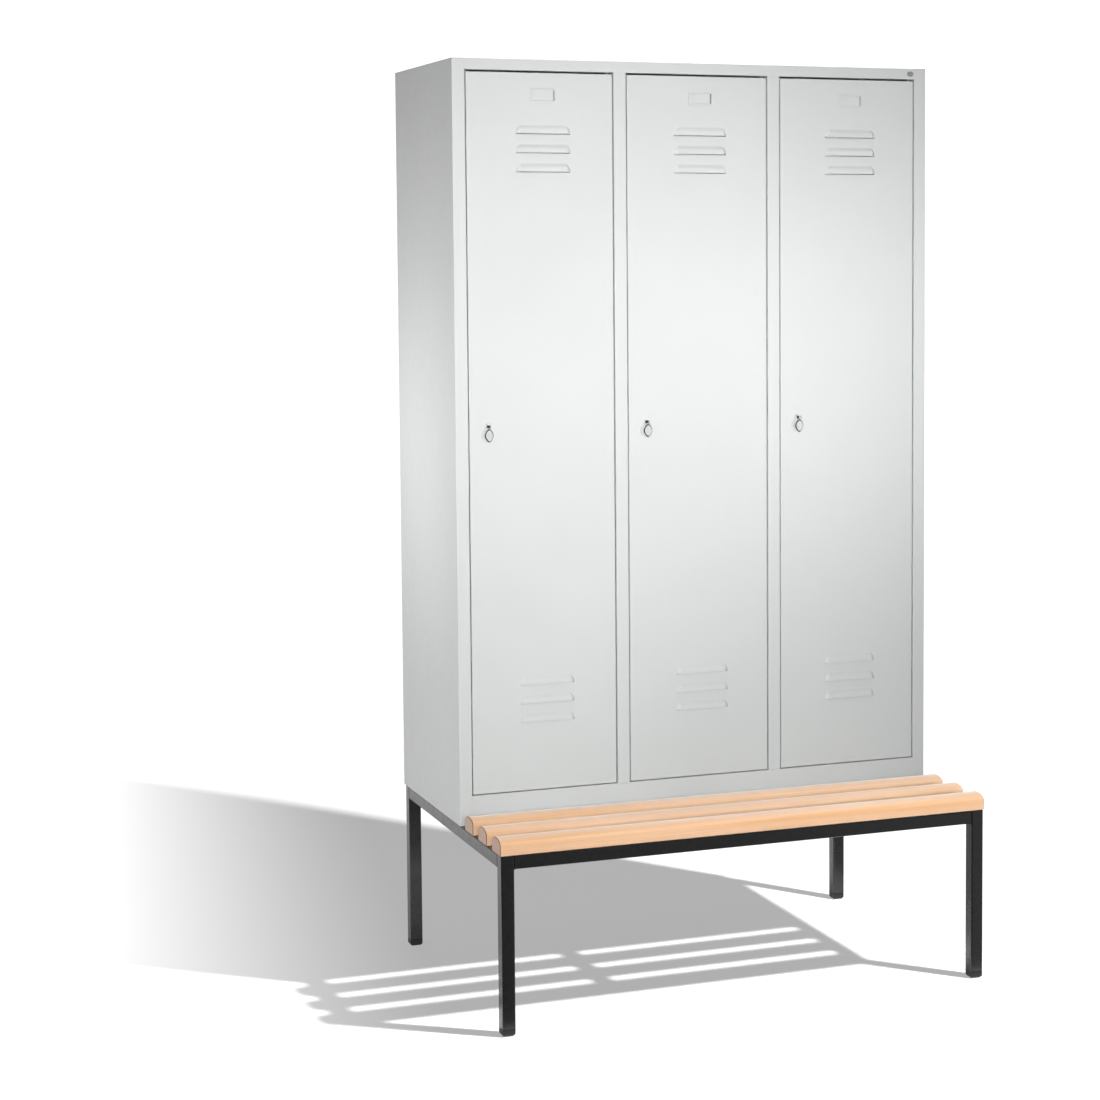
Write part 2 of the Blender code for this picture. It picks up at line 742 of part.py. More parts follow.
def louvre_hood(mesh_data, centre_x, edge_z, inset, back_y, low_z):
    """A pressed hood with round upper corners, or with an inset the hollow inside it."""
    straight = LOUVRE_LENGTH / 2 - LOUVRE_END - inset
    stations = []
    for share in LOUVRE_END_SHARES:
        swell = math.sqrt(1 - share * share)
        stations.append((straight + share * LOUVRE_END, swell))
    stations = [(-across, swell) for across, swell in reversed(stations)] + stations
    rings = []
    for across, swell in stations:
        rings.append(louvre_ring(centre_x + across, edge_z, swell, inset, back_y, low_z))
    loft_into(mesh_data, rings)


def louvre_edges():
    """Height of the open lower edge of each louvre of a door."""
    upper = [DOOR_HIGH - LOUVRE_TOP_MARGIN - i * LOUVRE_PITCH for i in range(LOUVRES_PER_SET)]
    lower = [DOOR_LOW + LOUVRE_BOTTOM_MARGIN + i * LOUVRE_PITCH for i in range(LOUVRES_PER_SET)]
    return upper + lower


def door_pan(left, right):
    """Door skin with its four edges folded back and hemmed inwards, as one tray."""

    def ring(inset, y):
        outline = rounded_rectangle(
            left + inset, right - inset, DOOR_LOW + inset, DOOR_HIGH - inset, DOOR_CORNER_RADIUS
        )
        return [(x, y, z) for x, z in outline]

    return loft(
        [
            ring(0, FACE),
            ring(0, DOOR_BACK),
            ring(DOOR_HEM, DOOR_BACK),
            ring(DOOR_HEM, DOOR_BACK - SHEET),
            ring(SHEET, DOOR_BACK - SHEET),
            ring(SHEET, FACE + SHEET),
        ]
    )


def card_holder(centre_x):
    """Raised rim round the place of a name card."""
    high = DOOR_HIGH - CARD_TOP_MARGIN
    low = high - CARD_HEIGHT
    left = centre_x - CARD_WIDTH / 2
    right = centre_x + CARD_WIDTH / 2
    outer = rounded_rectangle(left, right, low, high, CARD_RADIUS)
    window = rounded_rectangle(
        left + CARD_RIM, right - CARD_RIM, low + CARD_RIM, high - CARD_RIM, CARD_RADIUS / 2
    )
    return extrusion("Y", outer, FACE - CARD_PROUD, FACE + SHEET / 2, [window])


def card_slot(centre_x):
    """Slot in the right rim of the holder, through which the card goes in."""
    high = DOOR_HIGH - CARD_TOP_MARGIN - CARD_RIM
    low = high - CARD_HEIGHT + 2 * CARD_RIM
    right = centre_x + CARD_WIDTH / 2 - CARD_SLOT_MARGIN
    return rectangle(right - CARD_SLOT, right, low, high)


def build_door(index):
    """Door skin with louvres and card holder, and the channel that stiffens it."""
    opening_left, opening_right = opening_edges(index)
    left = opening_left + DOOR_GAP
    right = opening_right - DOOR_GAP
    number = index + 1
    axis_x = right - PIN_EDGE
    hinge = add_pivot(f"door_{number}_axis", (axis_x, PIN_Y, DOOR_LOW))
    vent_x = (left + right) / 2 + LOUVRE_SHIFT
    place = hinge["world_place"]
    door = add_object(f"door_{number}", door_pan(left, right), LIGHT_GREY_PAINT, place, hinge)
    hoods = bmesh.new()
    hollows = bmesh.new()
    for edge in louvre_edges():
        louvre_hood(hoods, vent_x, edge, 0, FACE + SHEET / 2, edge)
        louvre_hood(hollows, vent_x, edge, SHEET, FACE + SHEET + OVERRUN, edge - LOUVRE_SLIT)
    unite(door, hoods, f"door_{number}_louvres")
    unite(door, card_holder(vent_x), f"door_{number}_card_holder")
    cut(door, hollows, f"door_{number}_louvre_hollows")
    holes = bmesh.new()
    pin_hole = circle(PIN_RADIUS + GAP, PIN_SIDES, (axis_x, PIN_Y))
    for edge in (DOOR_LOW, DOOR_HIGH):
        extrude_into(holes, "Z", pin_hole, edge - OVERRUN, edge + OVERRUN)
    spindle_hole = circle(SPINDLE_RADIUS + GAP, DISC_SIDES, (left + LATCH_INSET, LATCH_Z))
    extrude_into(holes, "Y", spindle_hole, FACE - OVERRUN, FACE + SHEET + OVERRUN)
    extrude_into(holes, "Y", card_slot(vent_x), FACE - OVERRUN, FACE + SHEET + OVERRUN)
    shackle_slot = eye_outline((left + LATCH_INSET, LATCH_Z), SHACKLE_SLOT_MARGIN)
    extrude_into(holes, "Y", shackle_slot, FACE - OVERRUN, FACE + SHEET + OVERRUN)
    cut(door, holes, f"door_{number}_holes")
    build_stiffener(number, (left + right) / 2, place, hinge)
    build_latch(number, left + LATCH_INSET, hinge)


def build_stiffener(number, centre_x, place, hinge):
    """Hat channel down the middle of the door, between the two sets of louvres."""
    half = STIFFENER_WIDTH / 2
    front = FACE + SHEET + GAP + HALF_SHEET
    back = front + STIFFENER_DEPTH - SHEET
    path = [
        (centre_x - half - STIFFENER_BASE, front),
        (centre_x - half, front),
        (centre_x - half, back),
        (centre_x + half, back),
        (centre_x + half, front),
        (centre_x + half + STIFFENER_BASE, front),
    ]
    edges = louvre_edges()
    low = edges[-1] + LOUVRE_HEIGHT + STIFFENER_MARGIN
    high = edges[LOUVRES_PER_SET - 1] - STIFFENER_MARGIN
    shape = extrusion("Z", folded(path), low, high)
    add_object(f"door_stiffener_{number}", shape, LIGHT_GREY_PAINT, place, hinge)


def build_hinge_pins(index):
    """Upper and lower pin, each with a collar that keeps the door off the rail."""
    number = index + 1
    place = (pin_places()[index], PIN_Y)
    for name, rail, towards_door in (("lower", FLOOR_TOP, 1), ("upper", RAIL_BOTTOM, -1)):
        profile = [
            (PIN_RADIUS, rail - towards_door * PIN_REACH),
            (PIN_RADIUS, rail + towards_door * GAP),
            (PIN_COLLAR_RADIUS, rail + towards_door * GAP),
            (PIN_COLLAR_RADIUS, rail + towards_door * (DOOR_GAP - GAP)),
            (PIN_RADIUS, rail + towards_door * (DOOR_GAP - GAP)),
            (PIN_RADIUS, rail + towards_door * (DOOR_GAP + PIN_REACH)),
        ]
        origin = (*place, rail)
        shape = turned("Z", profile, place, PIN_SIDES)
        add_object(f"hinge_pin_{name}_{number}", shape, BRIGHT_STEEL, origin)


def build_latch(number, axis_x, hinge):
    """Rosette on the door, and the knob and cam that turn together on one spindle."""
    axis = (axis_x, LATCH_Z)
    rosette_back = FACE - GAP
    rosette_front = rosette_back - ROSETTE_THICKNESS
    place = (axis_x, FACE, LATCH_Z)
    rosette = rosette_shape(axis, rosette_front, rosette_back)
    add_object(f"latch_rosette_{number}", rosette, BRIGHT_STEEL, place, hinge)
    grip = knob_shape(axis, rosette_front)
    knob = add_object(f"latch_knob_{number}", grip, BRIGHT_STEEL, place, hinge)
    ear_back = rosette_front - GAP - KNOB_NECK / 2
    unite(knob, ear_shape(axis, ear_back - EAR_THICKNESS, ear_back), f"latch_knob_{number}_ear")
    cam_outline = rounded_rectangle(
        axis_x - CAM_WIDTH / 2,
        axis_x + CAM_WIDTH / 2,
        LATCH_Z - CAM_REACH,
        LATCH_Z + CAM_WIDTH / 2,
        CAM_WIDTH / 4,
    )
    bore = circle(SPINDLE_RADIUS + GAP, DISC_SIDES, axis)
    cam = extrusion("Y", cam_outline, CAM_FRONT, CAM_BACK, [bore])
    add_object(f"latch_cam_{number}", cam, BRIGHT_STEEL, place, hinge)


def rosette_shape(axis, front, back):
    """Flat disc with a bevelled rim and a hole for the spindle."""
    profile = [
        (SPINDLE_RADIUS + GAP, back),
        (ROSETTE_RADIUS, back),
        (ROSETTE_RADIUS, front + ROSETTE_RIM),
        (ROSETTE_RADIUS - ROSETTE_RIM, front),
        (SPINDLE_RADIUS + GAP, front),
    ]
    mesh_data = bmesh.new()
    loops = []
    for radius, y in profile:
        loops.append([mesh_data.verts.new((x, y, z)) for x, z in circle(radius, DISC_SIDES, axis)])
    for inner, outer in zip(loops, loops[1:] + loops[:1]):
        bridge(mesh_data, inner, outer)
    return mesh_data


def lens(axis, share):
    """Pointed oval of the knob, scaled about its axis."""
    points = []
    for u, v in circle(1, DISC_SIDES):
        across = math.copysign(abs(u) ** KNOB_POINTEDNESS, u) * KNOB_HALF_WIDTH
        up = math.copysign(abs(v) ** KNOB_POINTEDNESS, v) * KNOB_HALF_HEIGHT
        points.append((axis[0] + across * share, axis[1] + up * share))
    return points


def knob_shape(axis, rosette_front):
    """Nut, spindle, neck and pointed grip in one solid along the latch's axis."""
    nut_front = CAM_BACK + GAP
    neck_back = rosette_front - GAP
    neck_front = neck_back - KNOB_NECK
    grip_front = neck_back - KNOB_PROUD
    sections = [
        (circle(NUT_RADIUS, DISC_SIDES, axis), nut_front + NUT_THICKNESS),
        (circle(NUT_RADIUS, DISC_SIDES, axis), nut_front),
        (circle(SPINDLE_RADIUS, DISC_SIDES, axis), nut_front),
        (circle(SPINDLE_RADIUS, DISC_SIDES, axis), neck_back),
        (circle(KNOB_NECK_RADIUS, DISC_SIDES, axis), neck_back),
        (lens(axis, KNOB_WAIST_SHARE), neck_front),
        (lens(axis, 1), neck_front - KNOB_EDGE),
        (lens(axis, 1), grip_front + KNOB_EDGE),
        (lens(axis, KNOB_CROWN_SHARE), grip_front),
    ]
    return loft([[(x, y, z) for x, z in outline] for outline, y in sections])


def eye_outline(axis, margin=0):
    """Outline of the padlock's eye, or with a margin that of the slot behind it."""
    axis_x, axis_z = axis
    half_width = EYE_WIDTH / 2 + margin
    half_height = EYE_HEIGHT / 2 + margin
    eye_z = axis_z + EYE_CENTRE
    return rounded_rectangle(
        axis_x - half_width, axis_x + half_width, eye_z - half_height, eye_z + half_height, EYE_RADIUS
    )


def ear_shape(axis, low_y, high_y):
    """Lug above the grip with the eye for a padlock."""
    axis_x, axis_z = axis
    half = EAR_WIDTH / 2
    corners = rectangle(axis_x - half, axis_x + half, axis_z + EAR_ROOT, axis_z + EAR_TOP)
    outline = rounded(corners, [0, 0, EAR_RADIUS, EAR_RADIUS], 3)
    return extrusion("Y", outline, low_y, high_y, [eye_outline(axis)])


def build_badge():
    """Blank oval badge on the top rail."""
    centre_x = RIGHT - BADGE_FROM_RIGHT
    centre_z = (RAIL_BOTTOM + TOP) / 2
    back = FACE - GAP
    front = back - BADGE_THICKNESS

    def ring(inset, y):
        half_width = BADGE_WIDTH / 2 - inset
        half_height = BADGE_HEIGHT / 2 - inset
        unit = circle(1, DISC_SIDES)
        return [(centre_x + u * half_width, y, centre_z + v * half_height) for u, v in unit]

    rings = [ring(0, back), ring(0, front + BADGE_EDGE), ring(BADGE_EDGE, front)]
    add_object("badge_blank", loft(rings), BRIGHT_STEEL)


def main():
    for thing in list(bpy.data.objects):
        bpy.data.objects.remove(thing, do_unlink=True)
    build_base()
    build_bench()
    build_sides()
    build_partitions()
    build_floor()
    build_roof()
    build_back()
    for index in range(COMPARTMENTS):
        build_shelf(index)
        build_coat_rail(index)
        build_hooks(index)
        build_door(index)
        build_hinge_pins(index)
    build_badge()
    bpy.context.view_layer.update()


main()
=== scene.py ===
"""Steel locker with a slatted bench: finishes, fine pieces, floor, light and camera.

The frame has +X to the right, +Y to the back and +Z up. All sizes are in metres.
"""

import json
import math

import bmesh
import bpy
from mathutils import Matrix, Vector

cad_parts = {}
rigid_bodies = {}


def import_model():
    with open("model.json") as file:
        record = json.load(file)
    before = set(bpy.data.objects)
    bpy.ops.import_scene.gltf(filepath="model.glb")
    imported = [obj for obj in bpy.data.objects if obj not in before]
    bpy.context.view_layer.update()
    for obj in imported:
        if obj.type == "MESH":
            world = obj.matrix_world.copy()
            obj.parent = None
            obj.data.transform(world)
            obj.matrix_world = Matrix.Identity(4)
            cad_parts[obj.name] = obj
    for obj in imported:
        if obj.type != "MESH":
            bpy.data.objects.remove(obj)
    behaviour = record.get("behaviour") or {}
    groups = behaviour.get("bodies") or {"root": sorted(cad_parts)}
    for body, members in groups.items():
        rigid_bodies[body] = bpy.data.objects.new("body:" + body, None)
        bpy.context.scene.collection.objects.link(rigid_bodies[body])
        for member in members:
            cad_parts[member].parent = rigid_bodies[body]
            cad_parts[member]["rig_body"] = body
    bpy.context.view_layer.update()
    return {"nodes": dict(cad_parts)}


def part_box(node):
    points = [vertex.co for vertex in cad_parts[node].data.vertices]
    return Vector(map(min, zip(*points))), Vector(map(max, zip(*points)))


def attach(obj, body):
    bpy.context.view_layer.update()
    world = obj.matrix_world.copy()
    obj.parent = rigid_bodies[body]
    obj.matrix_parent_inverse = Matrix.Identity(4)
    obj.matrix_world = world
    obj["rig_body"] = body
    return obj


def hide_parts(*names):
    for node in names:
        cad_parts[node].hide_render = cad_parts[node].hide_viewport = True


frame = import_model()

# The photograph's camera, in pixels of the photograph and in metres from the front's middle
PHOTO_SIDE = 1100
FOCAL_PIXELS = 2419.3
PRINCIPAL_X = 650.0
PRINCIPAL_Y = 430.0
CAMERA_LEFT_OF_MIDDLE = 2.1006
CAMERA_BEFORE_FACE = 5.1781
CAMERA_HEIGHT = 1.6778
CAMERA_YAW = 0.36516
CAMERA_PITCH = -0.07214
CAMERA_ROLL = -0.00549
SENSOR_MM = 36
# Other views reckon with the sensor's width, so a narrow one leaves room for the lens shift
SENSOR_WIDTH_SHARE = 0.84
CLIP_START = 0.05
CLIP_END = 200

# Sizes that the fine pieces share with the CAD
COMPARTMENTS = 3
SLATS = ("front", "middle", "rear")
GAP = 0.0003
SHEET = 0.001
BEND = 0.0015
STILE = 0.030
LOUVRES_PER_SET = 3
LOUVRE_LENGTH = 0.130
LOUVRE_HEIGHT = 0.020
LOUVRE_PROUD = 0.006
LOUVRE_END = 0.014
LOUVRE_STEPS = 12
LOUVRE_PITCH = 0.0425
LOUVRE_SHIFT = 0.006
LOUVRE_SLIT = 0.0011
LOUVRE_TOP_MARGIN = 0.136
LOUVRE_BOTTOM_MARGIN = 0.156
DOOR_DEPTH = 0.018
DOOR_GAP = 0.0035
DOOR_STOP = 0.023
DOOR_HEM = 0.012
# How far a door's sheet goes past the CAD's at its left, bottom and hinge side, or short at its top
DOOR_GROWTH = 0.0012
HINGE_SIDE_GROWTH = 0.0003
DOOR_DROP = 0.0009
CARD_WIDTH = 0.058
CARD_HEIGHT = 0.032
CARD_RIM = 0.005
CARD_PROUD = 0.0012
CARD_RADIUS = 0.0015
CARD_TOP_MARGIN = 0.035
CARD_SLOT = 0.0016
CARD_SLOT_MARGIN = 0.0018
SPINDLE_RADIUS = 0.004
CAM_RADIUS = 0.0045
CAM_EDGE = 0.0004
NUT_RADIUS = 0.0065
NUT_THICKNESS = 0.004
ROSETTE_THICKNESS = 0.0022
KNOB_NECK_RADIUS = 0.009
KNOB_NECK = 0.003
KNOB_HALF_WIDTH = 0.0107
KNOB_HALF_HEIGHT = 0.0155
KNOB_PROUD = 0.013
KNOB_POINTEDNESS = 1.3
KNOB_EDGE = 0.003
EAR_WIDTH = 0.0145
EAR_TOP = 0.0262
EAR_ROOT = 0.009
EAR_THICKNESS = 0.004
EAR_RADIUS = 0.005
EAR_EDGE = 0.0006
EYE_WIDTH = 0.0095
EYE_HEIGHT = 0.006
EYE_CENTRE = 0.0195
EYE_RADIUS = 0.001
SHACKLE_SLOT_MARGIN = 0.0008
TUBE_WALL = 0.002
TUBE_RADIUS = 0.003
TUBE_EDGE = 0.0004
FOOT_CAP = 0.016
FOOT_EDGE = 0.007
FOOT_LIP = 0.0005
SLAT_CROWN = 0.013
SLAT_EDGE = 0.002
SLAT_CHAMFER = 0.0016
COAT_RAIL_WALL = 0.0012
HOOKS_PER_RAIL = 3
HOOK_RING = 0.003
HOOK_STEM = 0.008
HOOK_DROP = 0.040
HOOK_FLOOR = 0.006
HOOK_SPAN = 0.044
HOOK_ARM = 0.005
HOOK_MOUTH_DEPTH = 0.014
HOOK_MOUTH_RADIUS = 0.005
HOOK_OUTER_RADIUS = 0.010
HOOK_TIP_RADIUS = 0.0024
HOOK_EDGE = 0.0011
PIN_RADIUS = 0.0025
PIN_EDGE = 0.0005
TOP_RAIL = 0.025

# Sizes of the pieces that the CAD leaves out
WELD_RADIUS = 0.0032
WELD_RIPPLE = 0.0022
WELD_MARGIN = 0.003
WELD_SWELL = 0.14
WELD_HOLLOW = 0.18
WELD_TAIL = 0.25
WELD_TAIL_SLOPE = 6
SEAM_REACH = GAP * 1.15
SCREW_RADIUS = 0.0045
SCREW_HEIGHT = 0.0028
SCREW_SOCKET = 0.0022
SOCKET_DEPTH_SHARE = 0.65
CUP_FLANGE = 0.0175
CUP_NECK = 0.0013
CUP_SHEET = 0.0012
CUP_EDGE = 0.0005
CUP_EDGE_START = 0.0008
CUP_FILLET = 0.0012
CUP_FILLET_END = 0.0022
CUP_REACH = 0.0036
BUFFER_FROM_END = 0.12
BUFFER_FROM_EDGE = 0.0035

# Sections: the screw's head, as shares of its radius and of its height
SCREW_HEAD = ((1.0, 0), (1.0, 0.35), (0.92, 0.72), (0.74, 0.94), (0.55, 1.0))
# Louvre's end: shares of its length, from its tip inwards
LOUVRE_ENDS = (1, 0.985, 0.95, 0.89, 0.8, 0.68, 0.53, 0.36, 0.18, 0)
# Card holder's rim: inset, and share of its height
CARD_SLOPE = ((0, 0), (0.0003, 0.25), (0.0007, 0.75), (0.0010, 1))
# Rosette: inset from the rim, and depth behind its front
ROSETTE_SECTION = (
    (0, ROSETTE_THICKNESS * 0.55),
    (0.0004, ROSETTE_THICKNESS * 0.28),
    (0.0012, ROSETTE_THICKNESS * 0.08),
    (0.0022, 0),
    (0.0040, 0.0001),
    (0.0046, 0.0004),
)
# Knob's rounded back and front: share of its oval, and distance as a share of the rounding
KNOB_BACK = ((0.72, 0), (0.86, 0.35), (0.965, 0.8), (1, 1.25))
KNOB_FRONT = ((0.995, 1.25), (0.93, 0.72), (0.80, 0.32), (0.70, 0.10))
# Knob's dished front: share of its oval, and depth
KNOB_DISH = ((0.60, 0.0001), (0.50, 0.0004), (0.44, 0.0006))
# Badge: inset, and share of its thickness
BADGE_SECTION = ((0.0002, 0), (0, 0.2), (0, 0.6), (0.0003, 0.9), (0.0008, 1))
BADGE_SECTION += ((0.0013, 0.9), (0.0016, 0.62), (0.0030, 0.70), (0.0045, 0.75))
# Buffer: radius, and height over the door stop
BUFFER_SECTION = ((0.0032, 0), (0.0036, 0.0004), (0.0036, 0.0026), (0.0030, 0.0036), (0.0018, 0.0041))

# Fineness of the rounded shapes
QUARTER_STEPS = 5
EDGE_STEPS = 3
BEND_STEPS = 4
SOLE_STEPS = 8
CROWN_STEPS = 28
HOOK_ARC_STEPS = 30
HOOK_CORNER_STEPS = 6
ROUND_SIDES = 48
HOOK_BORE_SIDES = 32
PIN_SIDES = 28
SMALL_SIDES = 24
BOARD_PARTS = 12
SMOOTH_ANGLE = math.radians(38)

# Places read from the CAD
LEFT, FACE, CABINET_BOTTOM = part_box("side_left")[0]
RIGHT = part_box("side_right")[1].x
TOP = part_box("roof_panel")[1].z
FLOOR_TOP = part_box("partition_left")[0].z - GAP
RAIL_BOTTOM = TOP - TOP_RAIL
CABINET = "cabinet_and_frame"

# Where nearly all values of a noise lie
NOISE_RANGE = (0.3, 0.7)
# Edges that count as rubbed: by how far they bend the softened surface, or by their pointiness
RUBBED_BEND = (0.99, 0.85)
RUBBED_POINTINESS = (0.53, 0.62)
SOFT_EDGE = 0.0007
BEECH_TONES = (
    (0.28, (0.76, 0.425, 0.212)),
    (0.44, (0.83, 0.505, 0.28)),
    (0.56, (0.84, 0.56, 0.37)),
    (0.72, (0.78, 0.44, 0.218)),
)
BEECH_FLECK = (0.46, 0.21, 0.095)
BEECH_PATCH = (0.62, 0.36, 0.20)
END_GRAIN_TONES = (
    (0.0, (0.50, 0.345, 0.265)),
    (0.55, (0.62, 0.445, 0.355)),
    (1.0, (0.70, 0.52, 0.425)),
)
END_GRAIN_PORE = (0.25, 0.15, 0.10)
PITH = (0, 0.21, -0.31)
# Name, dark and light tone, and roughness
PLASTICS = {
    "foot_plastic": ("foot_cap_plastic", (0.008, 0.008, 0.0085), (0.013, 0.013, 0.0135), 0.48),
    "rubber": ("buffer_rubber", (0.016, 0.016, 0.017), (0.024, 0.024, 0.025), 0.7),
    "hook_plastic": ("hook_plastic", (0.36, 0.37, 0.38), (0.43, 0.44, 0.45), 0.46),
}
EVEN = (420, 420, 420)
# Name, dark and light tone, roughness, how metallic it is, and marks per metre along each axis
METALS = {
    "rail_steel": ("rail_galvanised", (0.50, 0.51, 0.52), (0.66, 0.67, 0.68), 0.30, 0.9, (6, 900, 900)),
    "zinc_steel": ("zinc_plated", (0.55, 0.56, 0.55), (0.72, 0.72, 0.70), 0.34, 0.9, (700, 700, 260)),
    "latch_metal": ("latch_matt_nickel", (0.66, 0.665, 0.66), (0.76, 0.765, 0.76), 0.36, 0.35, EVEN),
    # The knob's rim is coloured near black: a painted dark reflection that outlines the knob's light face
    "knob_rim_painted_dark": ("knob_rim_painted_reflection", (0.16, 0.165, 0.17), (0.26, 0.265, 0.27), 0.24, 0.9, EVEN),
    "badge_metal": (
        "badge_aluminium", (0.40, 0.405, 0.41), (0.52, 0.525, 0.53), 0.26, 0.6, (60, 900, 2400)
    ),
}

# Studio
FLOOR_SIDES = (-1.50, 0.68, -0.46, 2.80)
# The floor glows: evenly at the shadow's tone, then rising to white towards the left, painted light that
# fades the shadow out
FLOOR_GLOW = 0.405
FLOOR_REFLECTS = 0.05
FADE_NEAR = 0.60
FADE_FAR = 1.36
FADE_SLANT = 0.152
FADE_CURVE = 1.4
SHADOW_LAMP_PLACE = (2.62, -2.63, 4.45)
SHADOW_LAMP_RADIUS = 0.12
SHADOW_LAMP_POWER = 900
WORLD_SEEN = 1.15
WORLD_BASE = 0.09
# Direction, sharpness and strength
WORLD_LOBES = (
    ((0, 0, 1), 1, 0.42),
    ((-0.25, 0.93, -0.25), 6, 0.64),
    ((0.70, -0.65, -0.30), 16, 0.82),
    ((0.50, 0.85, 0.20), 8, 0.63),
)
WHITE = (1.0, 1.0, 1.0)
COOL = (0.80, 0.92, 1.0)
# Place, target, size, power, and where they aren't the usual, width of the beam and colour
SOFTBOXES = {
    "low": ((-1.30, FACE - 3.20, 1.30), (-0.10, FACE, 1.30), 0.8, 11.5, 60),
    "high": ((-1.00, FACE - 3.20, 2.20), (-0.30, FACE, 1.98), 0.8, 1.3, 40),
    "right": ((0.50, FACE - 2.40, 1.50), (0.45, FACE, 1.50), 0.5, 0.72, 34),
    "far": ((-1.70, FACE - 3.00, 1.50), (-0.20, FACE, 1.40), 1.0, 33),
    "side": ((LEFT - 0.65, 0.26, 1.25), (LEFT, 0.20, 1.25), 0.35, 3.6),
    "other_side": ((RIGHT + 1.00, 0.45, 1.50), (RIGHT, 0.20, 1.25), 0.6, 7),
    "back": ((-0.45, 1.75, 1.75), (-0.10, 0.39, 1.30), 0.8, 14),
    "roof": ((-0.20, 0.15, 3.20), (-0.05, 0.15, 2.11), 0.6, 1.3, 60),
}
BENCH_SOFTBOXES = {
    "bench_front": ((1.10, -1.50, 0.55), (0.40, -0.39, 0.41), 0.3, 8.6),
    "bench_top": ((0.45, -0.45, 1.20), (0.25, -0.27, 0.43), 0.5, 2.1, 180, COOL),
}


def centre_of(node, letters):
    """Middle of a CAD node's box along the axes that the letters name."""
    low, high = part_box(node)
    return tuple((getattr(low, letter) + getattr(high, letter)) / 2 for letter in letters)


def rounded(points, radii, steps=QUARTER_STEPS):
    """Replace each corner of a closed outline by an arc of its own radius."""
    points = [Vector(point) for point in points]
    outline = []
    for index, (corner, radius) in enumerate(zip(points, radii)):
        if radius == 0:
            outline.append(corner)
            continue
        to_before = (points[index - 1] - corner).normalized()
        to_after = (points[(index + 1) % len(points)] - corner).normalized()
        half_angle = to_before.angle(to_after) / 2
        centre = corner + (to_before + to_after).normalized() * radius / math.sin(half_angle)
        start = corner + to_before * radius / math.tan(half_angle) - centre
        end = corner + to_after * radius / math.tan(half_angle) - centre
        sweep = math.atan2(start.x * end.y - start.y * end.x, start.dot(end))
        for step in range(steps + 1):
            outline.append(centre + Matrix.Rotation(sweep * step / steps, 2) @ start)
    return outline


def rectangle(low_u, high_u, low_v, high_v):
    return [(low_u, low_v), (high_u, low_v), (high_u, high_v), (low_u, high_v)]


def rounded_rectangle(low_u, high_u, low_v, high_v, radius, depth=0):
    """A rectangle made smaller all round by a depth, with rounded corners."""
    corners = rectangle(low_u + depth, high_u - depth, low_v + depth, high_v - depth)
    return rounded(corners, [radius] * len(corners))


def circle(radius, centre=(0, 0), count=ROUND_SIDES):
    angles = [2 * math.pi * index / count for index in range(count)]
    return [(centre[0] + radius * math.cos(a), centre[1] + radius * math.sin(a)) for a in angles]


def inset(outline, distance):
    """Move each point of a counter-clockwise outline inwards, square to its two edges."""
    points = [Vector(point) for point in outline]
    moved = []
    for before, point, after in zip(points[-1:] + points, points, points[1:] + points[:1]):
        normal_in = (point - before).normalized().orthogonal()
        normal_out = (after - point).normalized().orthogonal()
        mitre = (normal_in + normal_out).normalized()
        moved.append(point + mitre * distance / max(mitre.dot(normal_in), 0.5))
    return moved


def to_space(axis, u, v, along):
    """Place a point of an outline's plane in space; the outline is pushed along the axis."""
    return {"X": (along, u, v), "Y": (u, along, v), "Z": (u, v, along)}[axis]


def add_ring(mesh, axis, outline, along):
    return [mesh.verts.new(to_space(axis, u, v, along)) for u, v in outline]


def bridge(mesh, lower, upper, material=0):
    """Join two closed loops of vertices by a band of faces."""
    count = len(lower)
    for index in range(count):
        following = (index + 1) % count
        corners = (lower[index], lower[following], upper[following], upper[index])
        mesh.faces.new(corners).material_index = material


def fill(mesh, *loops):
    """Fill the flat area between an outer loop and the loops of its holes."""
    edges = []
    for loop in loops:
        for ends in zip(loop, loop[1:] + loop[:1]):
            edges.append(mesh.edges.get(ends) or mesh.edges.new(ends))
    bmesh.ops.triangle_fill(mesh, use_beauty=True, edges=edges)


def quarter(steps):
    """Points from (1, 0) to (0, 1) on the circle about (1, 1), for rounded edges."""
    angles = [math.pi / 2 * step / steps for step in range(steps + 1)]
    return [(1 - math.sin(angle), 1 - math.cos(angle)) for angle in angles]


def edge_profile(low, high, radius):
    """Pairs of inset and place along the axis for a prism with rounded edges."""
    pairs = [(radius * depth, low + radius * rise) for depth, rise in quarter(EDGE_STEPS)]
    return pairs + [(depth, low + high - along) for depth, along in reversed(pairs)]


def plate(mesh, axis, outline, low, high, radius, holes=()):
    """A prism with rounded edges; the outline and its holes run counter-clockwise."""
    ends = []
    for number, loop in enumerate([outline, *holes]):
        rings = []
        for depth, along in edge_profile(low, high, radius):
            moved = inset(loop, depth if number == 0 else -depth)
            rings.append(add_ring(mesh, axis, moved, along))
        skin(mesh, rings, capped=False)
        ends.append((rings[0], rings[-1]))
    for loops in zip(*ends):
        fill(mesh, *loops)


def skin(mesh, rings, closed=False, capped=True):
    """Join rings of vertices in turn; a closed one joins the last to the first."""
    for lower, upper in zip(rings, rings[1:] + rings[:1] if closed else rings[1:]):
        bridge(mesh, lower, upper)
    if capped and not closed:
        mesh.faces.new(rings[0])
        mesh.faces.new(rings[-1])


def turned(mesh, axis, profile, centre, count=ROUND_SIDES, closed=False):
    """A turned solid from pairs of radius and place along the axis, or a hollow closed one."""
    rings = [add_ring(mesh, axis, circle(r, centre, count), along) for r, along in profile]
    skin(mesh, rings, closed)


def new_object(name, data):
    made = bpy.data.objects.new(name, data)
    bpy.context.scene.collection.objects.link(made)
    return made


